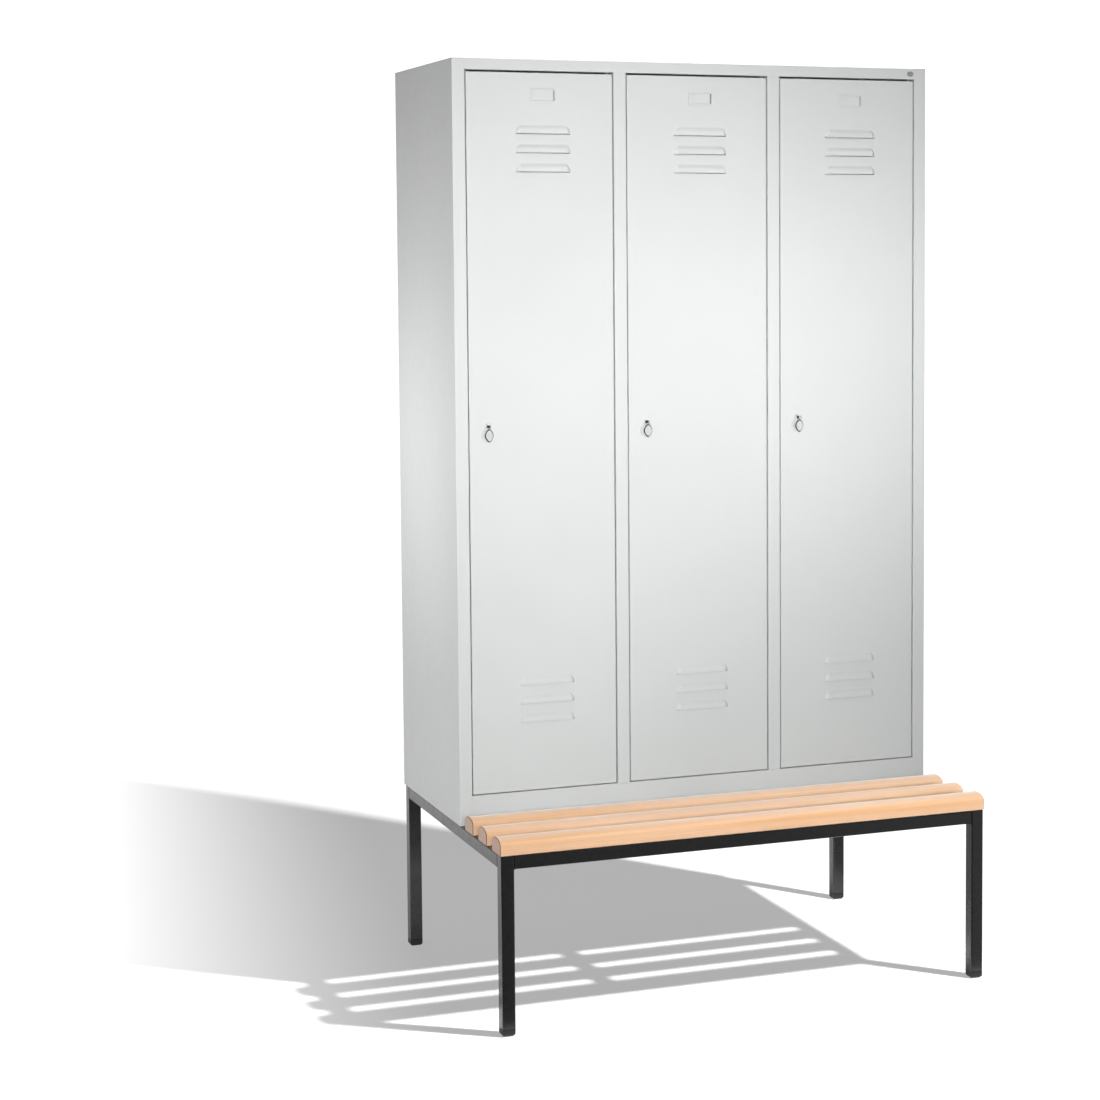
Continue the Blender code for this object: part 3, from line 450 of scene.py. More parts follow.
def add_piece(name, mesh, slot, node=None, finishes=(), thickness=0):
    """Turn a bmesh into a piece that stands for a CAD node, or else rides on the cabinet."""
    bmesh.ops.recalc_face_normals(mesh, faces=mesh.faces)
    data = bpy.data.meshes.new(name)
    mesh.to_mesh(data)
    mesh.free()
    data.shade_smooth()
    data.set_sharp_from_angle(angle=SMOOTH_ANGLE)
    for finish in finishes or (slot,):
        data.materials.append(FINISHES[finish])
    piece = new_object(name, data)
    if thickness:
        solid = piece.modifiers.new("thickness", "SOLIDIFY")
        solid.thickness = thickness
        solid.offset = -1
    weighted = piece.modifiers.new("flat_faces", "WEIGHTED_NORMAL")
    weighted.keep_sharp = True
    weighted.weight = 100
    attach(piece, frame["nodes"][node]["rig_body"] if node else CABINET)
    if node:
        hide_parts(node)


class Nodes:
    """A node tree, with a short way to add nodes and join them."""

    def __init__(self, owner):
        owner.use_nodes = True
        self.tree = owner.node_tree

    def join(self, node, inputs):
        """Set inputs of a node, each to a value or to the output of another node."""
        for key, value in inputs.items():
            socket = node.inputs[key.replace("_", " ") if isinstance(key, str) else key]
            if isinstance(value, bpy.types.NodeSocket):
                self.tree.links.new(value, socket)
            else:
                socket.default_value = value

    def add(self, kind, settings=(), **inputs):
        node = self.tree.nodes.new(kind)
        for key, value in dict(settings).items():
            setattr(node, key, value)
        self.join(node, inputs)
        return node

    def reckon(self, operation, first, second, kind="ShaderNodeMath"):
        node = self.add(kind, {"operation": operation})
        self.join(node, {0: first, 1: second})
        return node.outputs["Value"]

    def facing(self, first, second):
        """How far two directions agree, from -1 to 1."""
        return self.reckon("DOT_PRODUCT", first, second, "ShaderNodeVectorMath")


class Surface(Nodes):
    """The nodes of one material."""

    def __init__(self, name, **finish):
        self.material = bpy.data.materials.new(name)
        super().__init__(self.material)
        self.shader = self.tree.nodes["Principled BSDF"]
        self.join(self.shader, finish)
        self.place = self.add("ShaderNodeTexCoord").outputs["Object"]

    def stretched(self, scale):
        """The place on the object, scaled along each axis."""
        return self.add("ShaderNodeMapping", Vector=self.place, Scale=scale).outputs[0]

    def noise(self, scale, detail, at=None, distortion=0):
        settings = {"Scale": scale, "Detail": detail, "Distortion": distortion}
        return self.add("ShaderNodeTexNoise", Vector=at or self.place, **settings).outputs["Fac"]

    def span(self, value, low, high, to_low, to_high):
        """Carry a value from one range to another, and keep it inside that."""
        node = self.add("ShaderNodeMapRange")
        self.join(node, dict(enumerate((value, low, high, to_low, to_high))))
        return node.outputs[0]

    def cloud(self, scale, detail, low=0.0, high=1.0):
        """Noise that fills a range."""
        return self.span(self.noise(scale, detail), *NOISE_RANGE, low, high)

    def ramp(self, value, *stops):
        """Colours at places from 0 to 1."""
        node = self.add("ShaderNodeValToRGB", Fac=value)
        elements = node.color_ramp.elements
        while len(elements) < len(stops):
            elements.new(0.5)
        for element, (position, colour) in zip(elements, stops):
            element.position = position
            element.color = (*colour, 1)
        return node.outputs["Color"]

    def blend(self, factor, first, second):
        """Mix two colours, each a triple or the output of another node."""
        node = self.add("ShaderNodeMix", {"data_type": "RGBA"})
        first, second = [(*c, 1) if isinstance(c, tuple) else c for c in (first, second)]
        self.join(node, {0: factor, 6: first, 7: second})
        return node.outputs[2]

    def softened(self):
        """The surface's direction, rounded along its edges."""
        return self.add("ShaderNodeBevel", {"samples": 4}, Radius=SOFT_EDGE).outputs[0]

    def worn(self, colour, edge_colour, share, softened=None):
        """The colour, with a hint of another one along outward edges."""
        geometry = self.add("ShaderNodeNewGeometry")
        if softened:
            kept = self.facing(softened, geometry.outputs["True Normal"])
            rubbed = self.span(kept, *RUBBED_BEND, 0.0, share)
        else:
            rubbed = self.span(geometry.outputs["Pointiness"], *RUBBED_POINTINESS, 0.0, share)
        broken = self.span(self.noise(90, 4), 0.35, 0.65, 0.0, 1.0)
        return self.blend(self.reckon("MULTIPLY", rubbed, broken), colour, edge_colour)

    def bump(self, height, depth, strength=1.0, before=None):
        node = self.add("ShaderNodeBump", Height=height, Distance=depth, Strength=strength)
        if before:
            self.join(node, {"Normal": before})
        return node.outputs[0]

    def finished(self, **inputs):
        """The material, with the last inputs of its shader set."""
        self.join(self.shader, inputs)
        return self.material


def powder_coat(name, tones, edge, roughness, grain, depth, coarse=False, refraction=1.5):
    """Sprayed and baked paint, with orange peel; shading rounds the edges of a coarse mesh."""
    surface = Surface(name, IOR=refraction)
    softened = surface.softened() if coarse else None
    colour = surface.blend(surface.cloud(2.3, 4), *tones)
    peel = surface.bump(surface.noise(grain, 2), depth, 0.4, softened)
    return surface.finished(
        Base_Color=surface.worn(colour, edge, 0.45, softened),
        Roughness=surface.cloud(34, 4, *roughness),
        Normal=surface.bump(surface.noise(9, 1), depth * 2, 0.10, peel),
    )


def moulded_plastic(name, dark, light, roughness):
    surface = Surface(name)
    colour = surface.blend(surface.cloud(30, 3), dark, light)
    return surface.finished(
        Base_Color=surface.worn(colour, tuple(part * 1.8 for part in light), 0.4),
        Roughness=surface.cloud(120, 3, roughness - 0.07, roughness + 0.07),
        Normal=surface.bump(surface.noise(1600, 2), 0.00012, 0.6),
    )


def drawn_metal(name, dark, light, roughness, metallic, marks):
    """Bright metal with fine marks along one direction and faint cloudy patches."""
    surface = Surface(name, Metallic=metallic)
    cloud = surface.span(surface.noise(60, 4), 0.25, 0.75, 0.0, 1.0)
    lines = surface.noise(1, 3, surface.stretched(marks))
    return surface.finished(
        Base_Color=surface.blend(cloud, dark, light),
        Roughness=surface.span(lines, *NOISE_RANGE, roughness * 0.75, roughness * 1.3),
        Normal=surface.bump(lines, 0.00004, 0.5),
    )


def beech():
    """Lacquered beech, with soft bands, fine grain and short ray flecks along the board."""
    lacquer = {"Coat_Weight": 0.50, "Coat_Roughness": 0.25, "Sheen_Weight": 0.60, "Sheen_Roughness": 0.35}
    surface = Surface("beech_lacquered", **lacquer)
    bands = surface.noise(1, 3, surface.stretched((0.55, 26, 34)), 0.6)
    streaks = surface.noise(1, 4, surface.stretched((4, 520, 520)))
    grain = surface.span(streaks, 0.35, 0.68, 0.0, 0.27)
    cells = surface.add("ShaderNodeTexVoronoi", Vector=surface.stretched((170, 1250, 1250)), Scale=1.0)
    ray = surface.span(cells.outputs["Distance"], 0.10, 0.28, 0.52, 0.0)
    colour = surface.blend(grain, surface.ramp(bands, *BEECH_TONES), BEECH_FLECK)
    colour = surface.blend(ray, colour, BEECH_FLECK)
    return surface.finished(
        Base_Color=surface.blend(surface.cloud(3.2, 2, 0.0, 0.12), colour, BEECH_PATCH),
        Roughness=surface.span(streaks, *NOISE_RANGE, 0.36, 0.50),
        Normal=surface.bump(streaks, 0.00010, 0.5),
    )


def end_grain():
    """Cut ends of the boards: year rings, open pores and a thirsty, darker tone."""
    surface = Surface("beech_end_grain", Roughness=0.6)
    about_pith = surface.add("ShaderNodeMapping", Vector=surface.place, Location=PITH)
    rings = surface.add(
        "ShaderNodeTexWave",
        {"wave_type": "RINGS", "rings_direction": "X"},
        Vector=about_pith.outputs[0],
        Scale=95.0,
        Distortion=2.2,
        Detail=3.0,
    )
    pores = surface.noise(900, 2)
    colour = surface.ramp(rings.outputs["Fac"], *END_GRAIN_TONES)
    return surface.finished(
        Base_Color=surface.blend(surface.span(pores, 0.5, 0.72, 0.0, 0.5), colour, END_GRAIN_PORE),
        Normal=surface.bump(pores, 0.0002, 0.6),
    )


def sealed_edge():
    """Chamfer round the boards' cut ends, coloured dark brown: painted shade along the edge."""
    surface = Surface("beech_end_chamfer_painted_shade", Roughness=0.5)
    return surface.finished(
        Base_Color=surface.blend(surface.cloud(160, 3), (0.20, 0.090, 0.042), (0.29, 0.145, 0.072)),
        Normal=surface.bump(surface.noise(700, 2), 0.0001),
    )


def make_materials():
    """Every finish, under the name of its slot or, for a detail, of its own."""
    materials = {
        "locker_paint": powder_coat(
            "locker_powder_coat",
            ((0.580, 0.593, 0.586), (0.605, 0.618, 0.611)),
            edge=(0.68, 0.70, 0.69),
            roughness=(0.34, 0.44),
            grain=620,
            depth=0.00004,
            coarse=True,
        ),
        "frame_paint": powder_coat(
            "frame_powder_coat",
            ((0.0042, 0.0045, 0.0047), (0.0062, 0.0066, 0.0068)),
            edge=(0.026, 0.027, 0.028),
            roughness=(0.20, 0.28),
            grain=900,
            depth=0.00002,
            refraction=1.62,
        ),
        "slat_wood": beech(),
        "end_grain": end_grain(),
        "sealed_edge": sealed_edge(),
    }
    for slot, finish in PLASTICS.items():
        materials[slot] = moulded_plastic(*finish)
    for slot, finish in METALS.items():
        materials[slot] = drawn_metal(*finish)
    return materials


FINISHES = make_materials()


def square_tube(node, axis):
    """Welded square tube with evenly rounded corners and broken end edges."""
    low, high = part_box(node)
    across = {"X": "yz", "Y": "xz", "Z": "xy"}[axis]
    sides = [getattr(corner, letter) for letter in across for corner in (low, high)]
    start, end = [getattr(corner, axis.lower()) for corner in (low, high)]
    mesh = bmesh.new()
    rings = []
    for depth, along in (
        (TUBE_EDGE, start),
        (0, start + TUBE_EDGE),
        (0, end - TUBE_EDGE),
        (TUBE_EDGE, end),
        (TUBE_WALL, end),
        (TUBE_WALL, start),
    ):
        radius = max(TUBE_RADIUS - depth, TUBE_RADIUS - TUBE_WALL)
        rings.append(add_ring(mesh, axis, rounded_rectangle(*sides, radius, depth), along))
    skin(mesh, rings, closed=True)
    add_piece(f"tube_{node}", mesh, "frame_paint", node)


def weld_bead(mesh, start, end, side_a, side_b):
    """A rippled fillet of weld metal in the corner between two faces, from start to end."""
    start, end, side_a, side_b = [Vector(given) for given in (start, end, side_a, side_b)]
    length = (end - start).length
    count = max(8, int(length / WELD_RIPPLE) * 4)
    arc_steps = 4
    rings = []
    for index in range(count + 1):
        share = index / count
        swell = 1 + WELD_SWELL * math.sin(2 * math.pi * length * share / WELD_RIPPLE)
        tail = min(1, WELD_TAIL_SLOPE * min(share, 1 - share) + WELD_TAIL)
        reach = WELD_RADIUS * swell * tail
        place = start.lerp(end, share)
        ring = [place - (side_a + side_b) * GAP]
        for step in range(arc_steps + 1):
            angle = math.pi / 2 * step / arc_steps
            pull = 1 - WELD_HOLLOW + WELD_HOLLOW * abs(math.cos(2 * angle))
            arm = side_a * math.cos(angle) + side_b * math.sin(angle)
            ring.append(place + arm * reach * pull)
        rings.append([mesh.verts.new(point) for point in ring])
    skin(mesh, rings)


def build_base():
    for corner in ("front_left", "front_right", "back_left", "back_right"):
        square_tube(f"leg_{corner}", "Z")
        build_foot_cap(corner)
    for side in ("front", "back", "left", "right", "middle"):
        square_tube(f"rail_{side}", "X" if side in ("front", "back") else "Y")
    build_weld_beads()
    build_screws()


def build_weld_beads():
    """Fillet welds under the outer rails at the legs, and up the middle rail's ends."""
    mesh = bmesh.new()
    down = (0, 0, -1)
    for side in ("front", "back"):
        low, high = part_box(f"rail_{side}")
        for x, inward in ((low.x, 1), (high.x, -1)):
            ends = [(x, low.y + WELD_MARGIN, low.z), (x, high.y - WELD_MARGIN, low.z)]
            weld_bead(mesh, *ends, (inward, 0, 0), down)
    for side in ("left", "right"):
        low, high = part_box(f"rail_{side}")
        for y, inward in ((low.y, 1), (high.y, -1)):
            ends = [(low.x + WELD_MARGIN, y, low.z), (high.x - WELD_MARGIN, y, low.z)]
            weld_bead(mesh, *ends, (0, inward, 0), down)
    low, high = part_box("rail_middle")
    for y, inward in ((low.y, 1), (high.y, -1)):
        for x, outward in ((low.x, -1), (high.x, 1)):
            ends = [(x, y, low.z + WELD_MARGIN), (x, y, high.z - WELD_MARGIN)]
            weld_bead(mesh, *ends, (outward, 0, 0), (0, inward, 0))
    add_piece("weld_beads", mesh, "frame_paint")


def build_foot_cap(corner):
    """Moulded cap with a rounded sole, a fine lip under the tube and a stub in it."""
    node = f"foot_cap_{corner}"
    low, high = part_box(node)
    half = (high.x - low.x) / 2
    x, y = centre_of(node, "xy")
    sides = (x - half, x + half, y - half, y + half)
    stub = TUBE_WALL + GAP
    mesh = bmesh.new()
    rings = []
    for depth, rise in quarter(SOLE_STEPS):
        outline = rounded_rectangle(*sides, TUBE_RADIUS, FOOT_EDGE * depth)
        rings.append(add_ring(mesh, "Z", outline, FOOT_EDGE * rise))
    for depth, along in (
        (0, FOOT_CAP - FOOT_LIP),
        (FOOT_LIP, FOOT_CAP),
        (stub, FOOT_CAP),
        (stub, high.z - FOOT_LIP),
        (stub + FOOT_LIP, high.z),
    ):
        outline = rounded_rectangle(*sides, max(TUBE_RADIUS - depth, FOOT_LIP), depth)
        rings.append(add_ring(mesh, "Z", outline, along))
    skin(mesh, rings)
    add_piece(f"cap_{corner}", mesh, "foot_plastic", node)


def hexagon(size, centre):
    """A hexagon with a small circle's number of points, so that the two can be joined."""
    points = []
    for u, v in circle(1, count=SMALL_SIDES):
        angle = math.atan2(v, u) % (math.pi / 3)
        reach = size * math.cos(math.pi / 6) / math.cos(angle - math.pi / 6)
        points.append((centre[0] + reach * u, centre[1] + reach * v))
    return points


def build_screws():
    """Pan-head screws with a hexagon socket that hold the slats, seen from under the rails."""
    mesh = bmesh.new()
    for side in ("left", "middle", "right"):
        rail_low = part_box(f"rail_{side}")[0]
        (centre_x,) = centre_of(f"rail_{side}", "x")
        for slat in SLATS:
            (slat_y,) = centre_of(f"slat_{slat}", "y")
            centre = (centre_x, max(slat_y, rail_low.y + SCREW_RADIUS * 2))
            head = []
            for share, down in SCREW_HEAD:
                outline = circle(SCREW_RADIUS * share, centre, SMALL_SIDES)
                head.append(add_ring(mesh, "Z", outline, rail_low.z - SCREW_HEIGHT * down))
            for down in (1, 1 - SOCKET_DEPTH_SHARE):
                outline = hexagon(SCREW_SOCKET, centre)
                head.append(add_ring(mesh, "Z", outline, rail_low.z - SCREW_HEIGHT * down))
            skin(mesh, head)
    add_piece("slat_screws", mesh, "zinc_steel")


def slat_outline(low, high, depth):
    """Cross-section of a board in Y and Z, made smaller all round by a depth."""
    front = low.y + depth
    back = high.y - depth
    bottom = low.z + depth
    shoulder = high.z - SLAT_CROWN
    middle = (front + back) / 2
    half = (back - front) / 2
    corners = [(front, shoulder), (front, bottom), (back, bottom), (back, shoulder)]
    outline = rounded(corners, [0, SLAT_EDGE, SLAT_EDGE, 0], EDGE_STEPS)
    for step in range(1, CROWN_STEPS):
        angle = math.pi * step / CROWN_STEPS
        rise = (SLAT_CROWN - depth) * math.sin(angle)
        outline.append((middle + half * math.cos(angle), shoulder + rise))
    return outline


def build_slats():
    """Three boards with crowned tops and a small chamfer round their cut ends, coloured dark as painted
    shade.
    """
    # The third finish, on the end chamfers, is painted shade
    wood, cut, edge = range(3)
    for name in SLATS:
        node = f"slat_{name}"
        low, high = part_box(node)
        mesh = bmesh.new()
        places = [(SLAT_CHAMFER, low.x), (0, low.x + SLAT_CHAMFER)]
        for index in range(1, BOARD_PARTS):
            places.append((0, low.x + (high.x - low.x) * index / BOARD_PARTS))
        places += [(0, high.x - SLAT_CHAMFER), (SLAT_CHAMFER, high.x)]
        rings = [add_ring(mesh, "X", slat_outline(low, high, depth), x) for depth, x in places]
        last = len(rings) - 2
        for index, (lower, upper) in enumerate(zip(rings, rings[1:])):
            bridge(mesh, lower, upper, edge if index in (0, last) else wood)
        for ring in (rings[0], rings[-1]):
            mesh.faces.new(ring).material_index = cut
        finishes = ("slat_wood", "end_grain", "sealed_edge")
        add_piece(f"board_{name}", mesh, "slat_wood", node, finishes)


def louvre_form(share):
    """Height of a pressed hood over the skin, from 1 at its lip to 0 where it runs out."""
    return 0.5 * (1 + math.cos(math.pi * share**2.1))


def louvre(mesh, centre_x, edge_z):
    """One pressed hood; returns the loop along its rim, which the skin leaves open."""
    straight = LOUVRE_LENGTH / 2 - LOUVRE_END
    half = [(straight + share * LOUVRE_END, share) for share in LOUVRE_ENDS]
    stations = [(-across, share) for across, share in half] + [(0, 0)] + half[::-1]
    columns = []
    for across, share in stations:
        x = centre_x + across
        if share == 1:
            columns.append([mesh.verts.new((x, FACE, edge_z))] * (LOUVRE_STEPS + 1))
            continue
        swell = math.sqrt(1 - share * share)
        column = []
        for step in range(LOUVRE_STEPS + 1):
            up = step / LOUVRE_STEPS
            proud = LOUVRE_PROUD * louvre_form(share) * louvre_form(up)
            column.append(mesh.verts.new((x, FACE - proud, edge_z + LOUVRE_HEIGHT * swell * up)))
        columns.append(column)
    for left, right in zip(columns, columns[1:]):
        for step in range(LOUVRE_STEPS):
            corners = dict.fromkeys((left[step], right[step], right[step + 1], left[step + 1]))
            mesh.faces.new(list(corners))
    rim = [column[-1] for column in columns]
    # The slit under the hood ends at its third station
    reach = straight + LOUVRE_END * LOUVRE_ENDS[2]
    slit_ends = [(centre_x + side * reach, edge_z - LOUVRE_SLIT) for side in (1, -1)]
    return rim + add_ring(mesh, "Y", slit_ends, FACE)


def card_holder(mesh, low_x, high_x, low_z, high_z):
    """Raised rim round a card's place, with its slot; returns the loop along its foot."""
    section = [*CARD_SLOPE, *[(CARD_RIM - depth, proud) for depth, proud in reversed(CARD_SLOPE)]]
    rings = []
    for depth, proud in section:
        outline = rounded_rectangle(low_x, high_x, low_z, high_z, CARD_RADIUS, depth)
        rings.append(add_ring(mesh, "Y", outline, FACE - CARD_PROUD * proud))
    top = len(CARD_SLOPE) - 1
    for index, (outer, inner) in enumerate(zip(rings, rings[1:])):
        if index != top:
            bridge(mesh, outer, inner)
    right = high_x - CARD_SLOT_MARGIN
    outline = rectangle(right - CARD_SLOT, right, low_z + CARD_RIM, high_z - CARD_RIM)
    slot = add_ring(mesh, "Y", outline, FACE - CARD_PROUD)
    fill(mesh, rings[top], rings[top + 1], slot)
    mesh.faces.new(rings[-1])
    return rings[0]


def eye_outline(axis, margin=0):
    """Opening of the padlock eye above a latch's axis, with a margin all round."""
    half_width = EYE_WIDTH / 2 + margin
    half_height = EYE_HEIGHT / 2 + margin
    x = axis[0]
    z = axis[1] + EYE_CENTRE
    return rounded_rectangle(x - half_width, x + half_width, z - half_height, z + half_height, EYE_RADIUS)


def latch_axis(number):
    """X and Z of the axis of a latch."""
    return centre_of(f"latch_rosette_{number}", "xz")


def door_section():
    """Pairs of inset and Y, from the skin's edge round both bends to the hem."""
    back = FACE + DOOR_DEPTH
    section = [(BEND * inward, FACE + BEND * behind) for inward, behind in quarter(BEND_STEPS)]
    section += [(BEND * inward, back - BEND * before) for before, inward in quarter(BEND_STEPS)]
    return [*section, (DOOR_HEM, back)]


def build_door(number):
    """Door pressed from one sheet: skin, louvres, card holder, slots and folded edges."""
    node = f"door_{number}"
    low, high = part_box(node)
    mesh = bmesh.new()
    vent_x = centre_of(node, "x")[0] + LOUVRE_SHIFT
    pitches = [index * LOUVRE_PITCH for index in range(LOUVRES_PER_SET)]
    edges = [high.z - LOUVRE_TOP_MARGIN - pitch for pitch in pitches]
    edges += [low.z + LOUVRE_BOTTOM_MARGIN + pitch for pitch in pitches]
    holes = [louvre(mesh, vent_x, edge) for edge in edges]
    card_top = high.z - CARD_TOP_MARGIN
    card = (vent_x - CARD_WIDTH / 2, vent_x + CARD_WIDTH / 2, card_top - CARD_HEIGHT, card_top)
    holes.append(card_holder(mesh, *card))
    axis = latch_axis(number)
    spindle_hole = circle(SPINDLE_RADIUS + GAP, axis, SMALL_SIDES)
    for outline in (eye_outline(axis, SHACKLE_SLOT_MARGIN), spindle_hole):
        holes.append(add_ring(mesh, "Y", outline, FACE))
    sides = (low.x - DOOR_GROWTH, high.x + HINGE_SIDE_GROWTH, low.z - DOOR_GROWTH, high.z - DOOR_DROP)
    rings = []
    for depth, along in door_section():
        outline = rounded_rectangle(*sides, max(BEND - depth, GAP), depth)
        rings.append(add_ring(mesh, "Y", outline, along))
    skin(mesh, rings, capped=False)
    fill(mesh, rings[0], *holes)
    add_piece(f"door_sheet_{number}", mesh, "locker_paint", node, thickness=SHEET)


def lens(axis, share):
    """Pointed oval of the knob, scaled about its axis."""
    points = []
    for u, v in circle(1):
        across = math.copysign(abs(u) ** KNOB_POINTEDNESS, u) * KNOB_HALF_WIDTH
        up = math.copysign(abs(v) ** KNOB_POINTEDNESS, v) * KNOB_HALF_HEIGHT
        points.append((axis[0] + across * share, axis[1] + up * share))
    return points


def build_rosette(number):
    """Turned disc that covers the hole in the door."""
    node = f"latch_rosette_{number}"
    low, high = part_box(node)
    radius = (high.x - low.x) / 2
    bore = SPINDLE_RADIUS + GAP
    profile = [(bore, high.y), (radius - GAP, high.y), (radius, high.y - GAP)]
    profile += [(radius - inward, low.y + behind) for inward, behind in ROSETTE_SECTION]
    profile.append((bore, profile[-1][1]))
    mesh = bmesh.new()
    turned(mesh, "Y", profile, latch_axis(number), closed=True)
    add_piece(f"rosette_{number}", mesh, "latch_metal", node)


def knob_sections(axis, nut_back, neck_back):
    """Outlines of nut, spindle, neck and grip with their places, from the back to the front."""
    nut_front = nut_back - NUT_THICKNESS
    neck_front = neck_back - KNOB_NECK
    grip_front = neck_back - KNOB_PROUD
    round_part = (
        (NUT_RADIUS - GAP, nut_back),
        (NUT_RADIUS, nut_back - GAP),
        (NUT_RADIUS, nut_front + GAP),
        (NUT_RADIUS - GAP, nut_front),
        (SPINDLE_RADIUS, nut_front),
        (SPINDLE_RADIUS, neck_back),
        (KNOB_NECK_RADIUS - GAP, neck_back),
        (KNOB_NECK_RADIUS, neck_back - GAP),
    )
    grip = [(share, neck_front - KNOB_EDGE * ahead) for share, ahead in KNOB_BACK]
    grip += [(share, grip_front + KNOB_EDGE * behind) for share, behind in KNOB_FRONT]
    grip += [(share, grip_front + behind) for share, behind in KNOB_DISH]
    sections = [(circle(radius, axis), along) for radius, along in round_part]
    return sections + [(lens(axis, share), along) for share, along in grip]


def build_knob(number):
    """Cast knob with its padlock ear, spindle and nut; the bands of its rounded rim are coloured dark, a
    painted dark reflection.
    """
    node = f"latch_knob_{number}"
    axis = latch_axis(number)
    neck_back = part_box(f"latch_rosette_{number}")[0].y - GAP
    sections = knob_sections(axis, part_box(node)[1].y, neck_back)
    # The first two bands of the front's rounding take the dark rim finish, a painted dark reflection
    rim = len(sections) - len(KNOB_FRONT + KNOB_DISH)
    mesh = bmesh.new()
    rings = [add_ring(mesh, "Y", outline, along) for outline, along in sections]
    for index, (lower, upper) in enumerate(zip(rings, rings[1:])):
        bridge(mesh, lower, upper, 1 if index in (rim, rim + 1) else 0)
    for ring in (rings[0], rings[-1]):
        mesh.faces.new(ring)
    half = EAR_WIDTH / 2
    corners = rectangle(axis[0] - half, axis[0] + half, axis[1] + EAR_ROOT, axis[1] + EAR_TOP)
    outline = rounded(corners, [0, 0, EAR_RADIUS, EAR_RADIUS])
    ear_back = neck_back - KNOB_NECK / 2
    plate(mesh, "Y", outline, ear_back - EAR_THICKNESS, ear_back, EAR_EDGE, [eye_outline(axis)])
    add_piece(f"knob_{number}", mesh, "latch_metal", node, ("latch_metal", "knob_rim_painted_dark"))


def build_cam(number):
    node = f"latch_cam_{number}"
    low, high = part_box(node)
    mesh = bmesh.new()
    outline = rounded_rectangle(low.x, high.x, low.z, high.z, CAM_RADIUS)
    bore = circle(SPINDLE_RADIUS + GAP, latch_axis(number), SMALL_SIDES)
    plate(mesh, "Y", outline, low.y, high.y, CAM_EDGE, [bore])
    add_piece(f"cam_{number}", mesh, "zinc_steel", node)


def hook_outline(ring, centre_y, centre_z):
    """Side view of a double hook round its rail: ring, stem and two upturned arms."""
    half_stem = HOOK_STEM / 2
    join = math.acos(half_stem / ring)
    sweep = math.pi + 2 * join
    arc = []
    for step in range(HOOK_ARC_STEPS + 1):
        angle = sweep * step / HOOK_ARC_STEPS - join
        arc.append((ring * math.cos(angle), ring * math.sin(angle), 0))
    half = HOOK_SPAN / 2
    mouth = -HOOK_DROP
    tip = mouth + HOOK_MOUTH_DEPTH
    sole = mouth - HOOK_FLOOR
    right_half = [
        (half, sole, HOOK_OUTER_RADIUS),
        (half, tip, HOOK_TIP_RADIUS),
        (half - HOOK_ARM, tip, HOOK_TIP_RADIUS),
        (half - HOOK_ARM, mouth, HOOK_MOUTH_RADIUS),
        (half_stem, mouth, HOOK_MOUTH_RADIUS),
    ]
    left_half = [(-u, v, radius) for u, v, radius in reversed(right_half)]
    corners = arc + left_half + right_half
    radii = [radius for _, _, radius in corners]
    points = rounded([(u, v) for u, v, _ in corners], radii, HOOK_CORNER_STEPS)
    return [(centre_y + point[0], centre_z + point[1]) for point in points]


def build_hooks(number):
    rail = f"coat_rail_{number}"
    rail_low, rail_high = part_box(rail)
    centre = centre_of(rail, "yz")
    radius = (rail_high.z - rail_low.z) / 2 + GAP
    outline = hook_outline(radius + HOOK_RING, *centre)
    bore = circle(radius, centre, HOOK_BORE_SIDES)
    for place in range(1, HOOKS_PER_RAIL + 1):
        node = f"hook_{number}_{place}"
        low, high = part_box(node)
        mesh = bmesh.new()
        plate(mesh, "X", outline, low.x, high.x, HOOK_EDGE, [bore])
        add_piece(f"double_hook_{number}_{place}", mesh, "hook_plastic", node)


def build_coat_rail(number):
    """Drawn tube, and the pressed cups that hold its ends on the walls."""
    node = f"coat_rail_{number}"
    low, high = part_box(node)
    radius = (high.z - low.z) / 2
    inner = radius - COAT_RAIL_WALL
    centre = centre_of(node, "yz")
    mesh = bmesh.new()
    profile = [(radius, low.x), (radius, high.x), (inner, high.x), (inner, low.x)]
    turned(mesh, "X", profile, centre, closed=True)
    add_piece(f"hanging_rail_{number}", mesh, "rail_steel", node)
    bore = radius + GAP / 2
    neck = radius + CUP_NECK
    section = [
        (bore, 0),
        (CUP_FLANGE, 0),
        (CUP_FLANGE, CUP_EDGE_START),
        (CUP_FLANGE - CUP_EDGE, CUP_SHEET),
        (neck + CUP_FILLET, CUP_SHEET),
        (neck, CUP_FILLET_END),
        (neck, CUP_REACH),
        (bore, CUP_REACH),
    ]
    mesh = bmesh.new()
    for wall, inward in ((low.x, 1), (high.x, -1)):
        profile = [(r, wall + inward * along) for r, along in section]
        turned(mesh, "X", profile, centre, closed=True)
    add_piece(f"rail_cups_{number}", mesh, "zinc_steel")


def build_hinge_pins(number):
    """Turned pins, each with a collar that fills the door's gap."""
    collars = {
        "lower": (FLOOR_TOP + GAP, FLOOR_TOP + DOOR_GAP - GAP),
        "upper": (RAIL_BOTTOM - DOOR_GAP + GAP, RAIL_BOTTOM - GAP),
    }
    for end, (foot, head) in collars.items():
        node = f"hinge_pin_{end}_{number}"
        low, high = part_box(node)
        collar = (high.x - low.x) / 2
        profile = []
        for tip, shoulder, inward in ((low.z, foot, 1), (high.z, head, -1)):
            half = [
                (PIN_RADIUS - PIN_EDGE, tip),
                (PIN_RADIUS, tip + inward * PIN_EDGE),
                (PIN_RADIUS, shoulder),
                (collar - PIN_EDGE, shoulder),
                (collar, shoulder + inward * PIN_EDGE),
            ]
            profile += half[::inward]
        mesh = bmesh.new()
        turned(mesh, "Z", profile, centre_of(node, "xy"), PIN_SIDES)
        add_piece(f"turned_pin_{end}_{number}", mesh, "zinc_steel", node)


